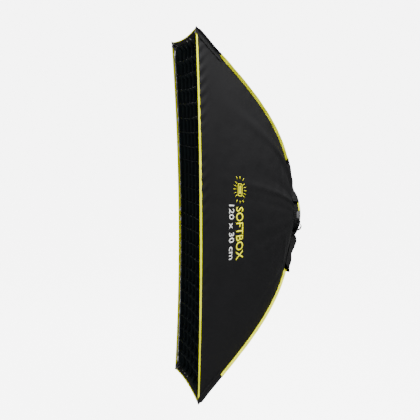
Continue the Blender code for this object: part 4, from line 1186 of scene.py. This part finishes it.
# %% Hook tapes and borders
HOOK_IN, BORDER_IN, SHEET_IN = (0.0024, 0.0032), (0.0040, 0.0052), 0.0066
GRID_FRONT, GRID_REAR, DIFFUSER_FRONT, DIFFUSER_REAR = 0.009, 0.049, 0.054, 0.074
HOOKS_FRONT, HOOKS_REAR = 0.013, 0.033
inner_strip("rim_hooks", "rim_hook_tape", HOOKS_FRONT, HOOKS_REAR, HOOK_IN, finishes["hook"],
            3)
inner_strip("inner_hooks", "inner_hook_tape", DIFFUSER_FRONT, DIFFUSER_REAR, HOOK_IN, finishes["hook"],
            4)
inner_strip("grid_edging", "grid_border", GRID_FRONT, GRID_REAR, BORDER_IN, finishes["grid"],
            5, "grid")
inner_strip("diffuser_edging", "diffuser_border", DIFFUSER_FRONT, DIFFUSER_REAR, BORDER_IN, finishes["web"],
            6, "diffuser")

# %% [markdown]
# ## The grid
# Strips of black cloth cross at right angles and keep the light from spreading. They are soft, so
# none of the real ones is straight. Here every strip takes the same slow push from a smooth field,
# which is stronger at the free front edge than at the rear.

# %% Grid strips
GRID_COLUMNS, GRID_ROWS, GRID_WALL = 6, 24, 0.0009


def push(u, v, depth_share, seed):
    """Sideways push of the lattice cloth: products of slow waves of both shares, in metres."""
    strength = 0.0015 - 0.0009 * depth_share
    rng = np.random.default_rng(seed)
    total = 0
    for _ in range(5):
        fu, fv = rng.uniform(2, 9), rng.uniform(6, 26)
        pu, pv = rng.uniform(0, 2 * pi, 2)
        total = total + np.cos(fu * u + pu) * np.cos(fv * v + pv)
    return strength * total / 1.8


def lattice_strip(upright, number, count):
    """Rows go from front to rear, columns along the strip, at an even share between the borders."""
    depths = np.linspace(GRID_FRONT, GRID_REAR, 6)
    rows = []
    for depth, share in zip(depths, np.linspace(0, 1, 6)):
        t = station(depth)
        reach = inset(t, BORDER_IN[1] + 0.0002)[1 if upright else 0]
        edge = inset(t, SHEET_IN)[0 if upright else 1]
        along = np.linspace(0, 1, 181 if upright else 49)
        free = np.abs(np.sin(pi * along)) ** 0.5
        far = reach + (1 - 2 * reach) * along
        level = edge + (1 - 2 * edge) * number / count + 0 * far
        if upright:
            u, v = level + push(level, far, share, 101) * free / side_length("top", t), far
        else:
            u, v = far, level + push(far, level, share, 102) * free / side_length("right", t)
        dip = 0.0012 * np.abs(np.sin(pi * along * (GRID_ROWS if upright else GRID_COLUMNS))) ** 1.5
        rows.append(section_point(t, u, v) + ((1 - share) * dip)[:, None] * np.array([0, 1, 0]))
    return np.stack(rows)


strips = [lattice_strip(True, number, GRID_COLUMNS) for number in range(1, GRID_COLUMNS)]
strips += [lattice_strip(False, number, GRID_ROWS) for number in range(1, GRID_ROWS)]
lattice = surface("grid_cells", strips, finishes["grid"], "grid_lattice", "grid",
                  thick=GRID_WALL, sink=0.0)
strip_total = sum(area_of(strip) for strip in strips)
strip_width = GRID_REAR - GRID_FRONT
cloth_sheet(lattice, (strip_width, strip_total / strip_width))
print("grid cloth in all:", round(strip_total, 3), "m2 in", len(strips), "strips")

# %% [markdown]
# ## Diffusers
# Two white cloths even out the light: the front one, held by a hook tape all round, and a smaller
# baffle that hangs from four elastic tabs. Both sag a little between their edges and carry faint
# folds, so each is a curved grid, with its ends narrowed where the corners are cut.

# %% Diffuser and baffle
def cloth_across(depth, distance, columns, rows, sag, seed):
    """A sheet across the tent; its width shrinks over the last part of each end. The sag is a product
    of sines, and the folds are slow waves along the length."""
    t = station(depth)
    u0, v0 = inset(t, distance)
    cut_u, cut_v = CORNER_CUT / side_length("top", t), CORNER_CUT / side_length("right", t)
    v = np.linspace(v0, 1 - v0, rows)[:, None]
    ends = np.clip(1 - (np.minimum(v, 1 - v) - v0) / cut_v, 0, 1)
    edge = u0 + cut_u * ends
    across = np.linspace(0, 1, columns)[None]
    u = edge + (1 - 2 * edge) * across
    hollow = np.sin(pi * across) * np.abs(np.sin(pi * (v - v0) / (1 - 2 * v0))) ** 0.5
    folds = swells(v * 1.1 + 0.05 * across, 4, 0.05, 0.16, seed) * np.sin(pi * across)
    return section_point(t, u, v) + (sag * hollow + 0.0005 * folds)[..., None] * np.array([0, 1, 0])


BAFFLE_DEPTH, BAFFLE_IN = 0.1803, 0.012
for name, node, depth, distance, sag, body, rests in (
        ("diffuser_face", "front_diffuser", 0.0573, BORDER_IN[1] + 0.0003, 0.0025, "diffuser",
         ["diffuser_edging"]),
        ("baffle_face", "inner_baffle", BAFFLE_DEPTH, BAFFLE_IN, 0.0030, "softbox",
         [f"baffle_elastic_{corner}" for corner in CORNERS])):
    grid = cloth_across(depth, distance, 41, 161, sag, 110)
    sheet = surface(name, [grid], finishes["diffuser"], node, body, away=(0, 1, 0),
                    thick=0.0005)
    rim = np.concatenate([grid[2:-2, 1], grid[-3, 1:-1], grid[2:-2, -2][::-1], grid[2, 1:-1][::-1]])
    ahead = np.tile((0.0, -1.0, 0.0), (len(rim), 1))
    sewing = stitch_rows(f"{name}_stitches", [(rim + 0.0002 * ahead, ahead)], finishes["white_thread"],
                         body)
    size = np.ptp(grid.reshape(-1, 3), axis=0)
    cloth_sheet(sheet, (float(size[0]), float(size[2])), area_of(grid))

# %% Elastic tabs
TAB_IN, TAB_PLACE, TAB_WIDTH = 0.0026, 0.12, 0.025
t = station(BAFFLE_DEPTH)
reach_out, reach_in = inset(t, TAB_IN)[0], inset(t, BAFFLE_IN + 0.0005)[0]
for corner, mirror in CORNERS.items():
    u = np.linspace(1 - reach_in, 1 - reach_out, 14)[:, None]
    pinch = 1 - 0.16 * np.sin(pi * np.linspace(0, 1, 14))[:, None]
    v = 1 - TAB_PLACE + np.linspace(-0.5, 0.5, 15)[None] * pinch * TAB_WIDTH / side_length("right", t)
    grid = (section_point(t, u, v) + (0, 0.0006, 0)) * mirror
    tab = surface(f"baffle_elastic_{corner}", [grid], finishes["web"], f"baffle_tab_{corner}",
                  away=(0, 1, 0), thick=0.0006)
    cut = TAB_WIDTH, float(walked(grid[:, 7])[-1])
    cloth_sheet(tab, cut, area_of(grid))
print("baffle", BAFFLE_DEPTH, "m behind the rim")

# %% [markdown]
# ## Metal and plastic
# The working parts of the neck are turned, pressed or moulded. A shape like that is an outline
# carried round an axis. Edges of real parts are never sharp, so every outline is eased first, and
# the small rounds then catch the light.

# %% Turned parts
def basis(axis):
    """Two unit vectors square to an axis."""
    axis = unit(np.asarray(axis, float))
    first = unit(np.cross(axis, (0.0, 0.0, 1.0) if abs(axis[2]) < 0.9 else (1.0, 0.0, 0.0)))
    return axis, first, np.cross(axis, first)


def turned(outline, sides, centre=(0, 0, 0), axis=(0, 1, 0), radius_factor=None, lift=None):
    """Outline points (radius, height) carried round: centre + axis h + radius (first cos a + second
    sin a). radius_factor(a) makes lobes, lift(a, radius, height) makes teeth."""
    axis, first, second = basis(axis)
    outline = np.asarray(outline, float)
    angle = np.linspace(0, 2 * pi, sides, endpoint=False)[:, None]
    radius, height = outline[None, :, 0] + 0 * angle, outline[None, :, 1] + 0 * angle
    if radius_factor:
        radius = radius * radius_factor(angle, height)
    if lift:
        height = height + lift(angle, radius, height)
    ray = first * np.cos(angle)[..., None] + second * np.sin(angle)[..., None]
    return np.asarray(centre) + axis * height[..., None] + radius[..., None] * ray


def closed_part(name, node, grids, look, body="softbox", wrap=(True, True)):
    """A solid piece that takes a node's place, or goes with a piece that does."""
    return surface(name, grids, finishes[look], node, body, wrap, solid=True)


# %% [markdown]
# ## Bayonet, keeper and screws
# The ring that goes on the lamp: a pressed steel flange with a short collar and three lugs. A black
# keeper, held by four screws, traps the speed ring behind it so that the box can turn.

# %% Bayonet
PLATE_SIDES = 288
plate = [(0.0625, -0.0226), (0.070, -0.0226), (0.070, -0.004), (0.076, -0.004), (0.076, 0), (0.0665, 0),
         (0.0665, 0.010), (0.0625, 0.010)]
LUG_COUNT, LUG_HALF, LUG_MIDDLE = 3, 0.013 / 0.0725, 0.0086
keeper = [(0.0625, -0.0254), (0.073, -0.0254), (0.073, -0.0229), (0.0625, -0.0229)]


def lug(middle):
    """An eased block carried along a short arc, closed at both ends. Its leading end is ramped."""
    block = eased([(0.0645, 0.0076), (0.0725, 0.0076), (0.0725, 0.0096), (0.0645, 0.0096)], 0.0004)
    angle = middle + np.linspace(-LUG_HALF, LUG_HALF, 17)[:, None]
    ramp = 0.0007 * np.clip((angle - middle) / LUG_HALF - 0.6, 0, 1) * (block[None, :, 1] < LUG_MIDDLE)
    return capped(about_neck(angle, block[None, :, 0] + 0 * angle, block[None, :, 1] + ramp))


closed_part("lamp_mount", "bayonet_plate", [turned(eased(plate, 0.0006, 3), PLATE_SIDES)], "bayonet",
            "adapter")
closed_part("lamp_mount_lugs", None, [lug(2 * pi * k / LUG_COUNT) for k in range(LUG_COUNT)], "bayonet",
            "adapter", (False, True))
closed_part("trap_ring", "keeper_ring", [turned(eased(keeper, 0.0005, 3), PLATE_SIDES)], "keeper",
            "adapter")

# %% Screws
SCREW_PLACE, SCREW_TOP = 0.06625, -0.0257
HEX_SIDES, RECESS_POINTS = 48, 3
screw = [(0, 0.0001), (0.0012, 0.0001), (0.0013, -0.0013), (0.0019, -0.0016), (0.0025, -0.0014),
         (0.0028, -0.0009), (0.0028, 0), (0.0014, 0), (0.0014, 0.0077), (0.0011, 0.0080), (0, 0.0080)]


def hexed(angle, _):
    """A hexagon for the recess: its radius is cos 30 over the cosine of the angle from a flat."""
    flat = (angle + pi / 6) % (pi / 3) - pi / 6
    inside = np.arange(len(screw)) < RECESS_POINTS
    return np.where(inside[None], cos(pi / 6) / np.cos(flat), 1.0)


for number in range(4):
    angle = radians(45 + 90 * number)
    spot = (SCREW_PLACE * sin(angle), SCREW_TOP, SCREW_PLACE * cos(angle))
    closed_part(f"trap_screw_{number}", f"keeper_screw_{number + 1}",
                [turned(screw, HEX_SIDES, spot, radius_factor=hexed)], "screw", "adapter",
                (True, False))
print("four screws on a circle of", SCREW_PLACE * 2000, "mm")

# %% [markdown]
# ## Speed ring
# A cast alloy ring that carries the four rod sockets and turns on the bayonet. Its rear rim is
# finely toothed for grip, and one hole lets the lock's screw through.

# %% Ring with its hole
RING_TEETH, RING_BORE, RING_SIDES = 144, 0.0703, 864
ring_outline = [(RING_BORE, RING_FRONT), (RING_RADIUS, RING_FRONT), (RING_RADIUS, RING_REAR),
                (RING_BORE, RING_REAR)]


def teeth(angle, radius, height):
    """Square-ish waves of the angle on the rear face, between two radii, never above the face."""
    zone = (radius > 0.0775) & (radius < 0.0835) & (height > RING_REAR - 0.0002)
    return -0.00045 * zone * (0.5 + 0.5 * np.tanh(4 * np.cos(RING_TEETH * angle)))


def rear_face_split(outline):
    """More points along the rear face, so that the teeth have edges to stand on."""
    radii = np.array([0.0840, 0.0836, 0.0834, 0.0777, 0.0774, 0.0730])
    face = np.stack([radii, np.full(len(radii), RING_REAR)], -1)
    last = np.flatnonzero((outline[:, 1] > RING_REAR - 1e-6) & (outline[:, 0] > 0.08))[-1]
    return np.insert(outline, last + 1, face, 0)


def drilled(thing, radius, start, end):
    """Cut a round hole through a piece with a temporary tool body."""
    start, end = np.array(start, float), np.array(end, float)
    length = float(np.linalg.norm(end - start))
    rod = turned([(0, 0), (radius, 0), (radius, length), (0, length)], 32, start, end - start)
    bit = surface("drill", [rod], finishes["ring"], body=None, wrap=(True, False), solid=True)
    cut = thing.modifiers.new("hole", "BOOLEAN")
    cut.operation, cut.object, cut.solver = "DIFFERENCE", bit, "EXACT"
    seen = thing.evaluated_get(bpy.context.evaluated_depsgraph_get())
    mesh = bpy.data.meshes.new_from_object(seen)
    thing.modifiers.clear()
    thing.data = mesh
    bpy.data.objects.remove(bit)


KNOB_HOLE = 0.0042
turning_ring = closed_part("turning_ring", "speed_ring",
                           [turned(rear_face_split(eased(ring_outline, 0.0013, 3)), RING_SIDES, lift=teeth)],
                           "ring")
drilled(turning_ring, KNOB_HOLE, (-0.060, KNOB_LEVEL, 0), (-0.095, KNOB_LEVEL, 0))
print("ring:", len(turning_ring.data.polygons), "faces after drilling")

# %% Sockets, ferrules, rods and caps
ROD_RADIUS, ROD_TOTAL = 0.004, float(ROD_RUN[-1])
ROD_START, ROD_STOP = 0.0106, 0.0133        # bare lengths left at the rod's two ends
FERRULE_END, CAP_START, CAP_END = 0.0263, 0.010, 0.036
rod_base, rod_far = rod_at(0.0), rod_at(ROD_TOTAL - CAP_START)
along_start = unit(rod_at(FERRULE_END) - rod_base)
along_end = unit(rod_at(ROD_TOTAL - CAP_END) - rod_far)


def tube(outline, centre, axis):
    """One turned solid that starts and ends on its axis."""
    return turned([(0, outline[0][1]), *outline, (0, outline[-1][1])], 64, centre, axis)


def foot_block(place):
    """The lug that joins a socket to the ring: an eased rectangle carried back from the ring."""
    middle = place - 0.0095 * along_start
    edge = eased([(-0.0045, -0.004), (0.0045, -0.004), (0.0045, 0.004), (-0.0045, 0.004)], 0.001, 3)
    levels = np.array([RING_FRONT - 0.0003, RING_FRONT - 0.0006, place[1] + 0.0058, place[1] + 0.0054])
    shrink = np.array([0.94, 1, 1, 0.94])[:, None, None]
    radial = unit(middle * (1, 0, 1))
    tangent = np.cross(radial, (0, 1, 0))
    flat = edge[None, :, :1] * tangent + edge[None, :, 1:] * radial
    return capped(middle * (1, 0, 1) + flat * shrink + levels[:, None, None] * np.array([0, 1, 0]))


def rod_tube():
    """A circle carried along the rod's own curve, with rounded ends."""
    t = np.interp(np.linspace(ROD_START, ROD_TOTAL - ROD_STOP, 150), ROD_RUN, SHARES)
    rail = rod_point(t)
    along = unit(np.gradient(rail, axis=0))
    out = ridge_frame(t)[2]
    side = unit(np.cross(along, out))
    angle = np.linspace(0, 2 * pi, 20, endpoint=False)
    circle = ROD_RADIUS * np.stack([np.cos(angle), np.sin(angle)], -1)
    return capped(carried(rail, side, np.cross(side, along), circle))


socket_outline = [(0.0056, -0.0140), (0.0062, -0.0138), (0.0066, -0.0132), (0.0066, 0.0072), (0.0062, 0.0078),
                  (0.0056, 0.0080), (0.0047, 0.0080), (0.0043, 0.0076), (0.0043, -0.0120)]
ferrule_outline = [(0.0034, -0.0117), (0.0039, -0.0110), (0.0039, 0.0083), (0.0050, 0.0083), (0.0056, 0.0089),
                   (0.0056, 0.0140), (0.0053, 0.0143), (0.0056, 0.0146), (0.0056, 0.0257), (0.0050, 0.0263),
                   (0.0047, 0.0261), (0.0047, 0.0103)]
cap_outline = [(0.0038, 0.0), (0.0050, 0.0006), (0.0058, 0.0020), (0.0058, 0.0120), (0.0055, 0.0124),
               (0.0058, 0.0128), (0.0058, 0.0254), (0.0052, 0.0260), (0.0047, 0.0257), (0.0047, 0.0030)]
for corner, mirror in CORNERS.items():
    for name, node, grid, look, slot, wrap in (
            ("socket", "rod_socket", tube(socket_outline, rod_base, along_start), "socket", "socket_alloy",
             (True, False)),
            ("ferrule", "rod_ferrule", tube(ferrule_outline, rod_base, along_start), "ferrule",
             "ferrule_steel", (True, False)),
            ("tip_cap", "rod_cap", tube(cap_outline, rod_far, along_end), "cap", "cap_plastic",
             (True, False)),
            ("socket_foot", None, foot_block(rod_base), "socket", "socket_alloy", (False, True)),
            ("bent_rod", "rod", rod_tube(), "rod", "rod_fibreglass", (False, True))):
        closed_part(f"{name}_{corner}", node and f"{node}_{corner}", [grid * mirror], look, wrap=wrap)
print("rod length", round(ROD_TOTAL - ROD_START - ROD_STOP, 3), "m")

# %% [markdown]
# ## Lock
# A knob on a screw presses a nylon pad against the bayonet's hub. It has six finger lobes with
# rounded edges and a shallow dish in its end.

# %% Knob, pad and eyelet
KNOB_LOBES = 6
knob = [(0, 0.0043), (0.0033, 0.0043), (0.0036, 0.0046), (0.0036, 0.0214), (0.0050, 0.0216),
        (0.0066, 0.0219), (0.0080, 0.0228), (0.0089, 0.0240), (0.0092, 0.0256), (0.0092, 0.0318),
        (0.0089, 0.0333), (0.0080, 0.0343), (0.0066, 0.0346), (0.0054, 0.0344), (0.0048, 0.0338),
        (0, 0.0336)]
pad = [(0, 0), (0.0032, 0), (0.0036, 0.0004), (0.0036, 0.0036), (0.0032, 0.0040), (0, 0.0040)]
eyelet = eased([(0.0041, 0.0163), (0.0041, 0.0175), (0.0056, 0.0175), (0.0057, 0.0163)], 0.0003, 3)
knob_start, knob_axis = (-0.0706, KNOB_LEVEL, 0), (-1, 0, 0)


def lobes(angle, height):
    """1 plus a share of the cosine of six times the angle, on the head only."""
    head = np.clip((height - 0.0216) / 0.002, 0, 1)
    return 1 + 0.087 * head * np.cos(KNOB_LOBES * angle)


closed_part("finger_knob", "lock_knob", [turned(knob, 192, knob_start, knob_axis, radius_factor=lobes)],
            "knob", "lock_knob", (True, False))
closed_part("pressure_pad", "lock_pad", [turned(pad, 64, knob_start, knob_axis)], "pad",
            "lock_pad", (True, False))
closed_part("knob_eyelet", None, [turned(eyelet, 72, knob_start, knob_axis)], "knob")

# %% [markdown]
# ## The print
# The side carries a printed sign and two lines. The words here are plain ones: what it is and how
# large it is, with a small drawing of a strip of light and its rays. Letters are cut into small
# triangles first, and then each point is moved on to the folded cloth, so that the print bends with it.

# %% From flat drawing to cloth
INK_LIFT, INK_THICK = 0.00035, 0.00015
INK_MERGE, INK_EDGE = 1e-5, 0.0055


def cut_small(shape, longest):
    """Split every edge longer than a limit, three times over, so that flat letters can bend."""
    for _ in range(3):
        long = [edge for edge in shape.edges if edge.calc_length() > longest]
        if long:
            bmesh.ops.subdivide_edges(shape, edges=long, cuts=1)
            bmesh.ops.triangulate(shape, faces=[face for face in shape.faces if len(face.verts) > 3])


def lay_print(name, mesh, look, to_shares):
    """Points (x, y) of a flat drawing, in shares of its own box, go to panel shares s, t."""
    shape = bmesh.new()
    shape.from_mesh(mesh)
    bmesh.ops.remove_doubles(shape, verts=shape.verts, dist=INK_MERGE)
    bmesh.ops.triangulate(shape, faces=shape.faces)
    cut_small(shape, INK_EDGE)
    flat = np.array([vert.co for vert in shape.verts])[:, :2]
    s, t = to_shares(flat)
    placed = cloth_point("right", s, t, INK_LIFT)
    for vert, spot in zip(shape.verts, placed):
        vert.co = spot
    out = Vector(OUTWARD["right"])
    faces = list(shape.faces)
    if sum(face.normal.dot(out) * face.calc_area() for face in faces if not face.normal_update()) < 0:
        bmesh.ops.reverse_faces(shape, faces=faces)
    made = bpy.data.meshes.new(name)
    shape.to_mesh(made)
    uvs = flat[[loop.vertex_index for loop in made.loops]]
    made.uv_layers.new(name="UVMap").data.foreach_set("uv", uvs.ravel())
    shape.free()
    made.shade_smooth()
    piece_of(name, made, look, thick=INK_THICK, sink=1.0)


def letters(text):
    """Flat letters as a mesh."""
    curve = bpy.data.curves.new("letters", "FONT")
    curve.body = text
    curve.offset = 0.012
    curve.resolution_u = 5
    thing = in_scene("letters", curve)
    mesh = bpy.data.meshes.new_from_object(thing.evaluated_get(bpy.context.evaluated_depsgraph_get()))
    bpy.data.objects.remove(thing)
    return mesh


def print_line(name, text, look, s_start, s_end, t_top, t_feet):
    """Reading runs from s_start down to s_end, and the letters' height from t_feet back to t_top."""
    mesh = letters(text)
    points = np.array([vert.co for vert in mesh.vertices])
    low, high = points.min(0), points.max(0)
    size_s = abs(s_end - s_start) * float(side_length("right", (t_top + t_feet) / 2))
    scale = size_s / (high[0] - low[0])
    for vert in mesh.vertices:
        vert.co = ((vert.co.x - low[0]) * scale, (vert.co.y - low[1]) * scale, 0)
    tall = (high[1] - low[1]) * scale

    def to_shares(flat):
        s = s_start + (s_end - s_start) * flat[:, 0] / size_s
        return s, t_feet + (t_top - t_feet) * flat[:, 1] / tall

    lay_print(name, mesh, look, to_shares)


# %% Sign and lines
def band_of(outline, width):
    """A closed outline widened into a strip: quads between it and itself moved along its normals."""
    after = np.roll(outline, -1, 0) - np.roll(outline, 1, 0)
    normal = unit(np.stack([-after[:, 1], after[:, 0]], -1))
    inner, outer = outline - normal * width / 2, outline + normal * width / 2
    count = len(outline)
    k = np.arange(count)
    faces = np.stack([k, (k + 1) % count, (k + 1) % count + count, k + count], -1)
    return np.concatenate([inner, outer]), faces


def rounded(width, height, radius):
    """A rectangle with round corners, round its own middle."""
    w, h = width / 2, height / 2
    return eased([(-w, -h), (w, -h), (w, h), (-w, h)], radius, 6)


def sign_mesh():
    """A strip lamp seen from the front: a long rounded frame, a bar inside it, and rays all round."""
    parts = [band_of(rounded(0.036, 0.012, 0.003), 0.0020)]
    bar = rounded(0.026, 0.0040, 0.0019)
    parts.append((bar, np.arange(len(bar))[None]))
    for angle in np.linspace(0, 2 * pi, 16, endpoint=False):
        ray = np.array([cos(angle), sin(angle)])
        side = np.array([-ray[1], ray[0]])
        start = ray * (0.0225 if abs(ray[0]) > 0.75 else 0.0125) + np.array([0.010 * ray[0], 0])
        tip = start + ray * 0.0080
        corners = [start - side * 0.0009, tip - side * 0.0006, tip + side * 0.0006, start + side * 0.0009]
        parts.append((np.array(corners), np.array([[0, 1, 2, 3]])))
    mesh = bpy.data.meshes.new("sign")
    verts, faces, total = [], [], 0
    for points, cells in parts:
        verts += [(x, y, 0) for x, y in points]
        faces += [tuple(int(i) + total for i in cell) for cell in cells]
        total += len(points)
    mesh.from_pydata(verts, [], faces)
    return mesh


def sign_shares(flat):
    """The sign's long way runs along the panel's length; its centre and the metres per share."""
    return 0.606 + flat[:, 0] * 1.10 / 0.94, 0.680 - flat[:, 1] * 1.15 / 0.47


lay_print("print_sign", sign_mesh(), finishes["yellow_ink"], sign_shares)
print_line("print_line_one", "SOFTBOX", finishes["yellow_ink"], 0.546, 0.360, 0.655, 0.710)
print_line("print_line_two", "120 x 30 cm", finishes["white_ink"], 0.552, 0.370, 0.726, 0.764)
print("print made:", [name for name in made_counts if name.startswith("print")])

# %% [markdown]
# ## Size
# How far the dressed model's box reaches past the frame's box is printed for each side, so that one
# can see that the cloth added only its own thickness.

# %% Print the growth and the counts
low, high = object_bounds()
for word, growth in (("below", cad_low - low), ("above", high - cad_high)):
    print("grew", word, "by, mm:", [round(1000 * a, 1) for a in growth])
largest = max(made_counts, key=made_counts.get)
print(len(made_counts), "pieces,", sum(made_counts.values()), "faces; most in", largest)
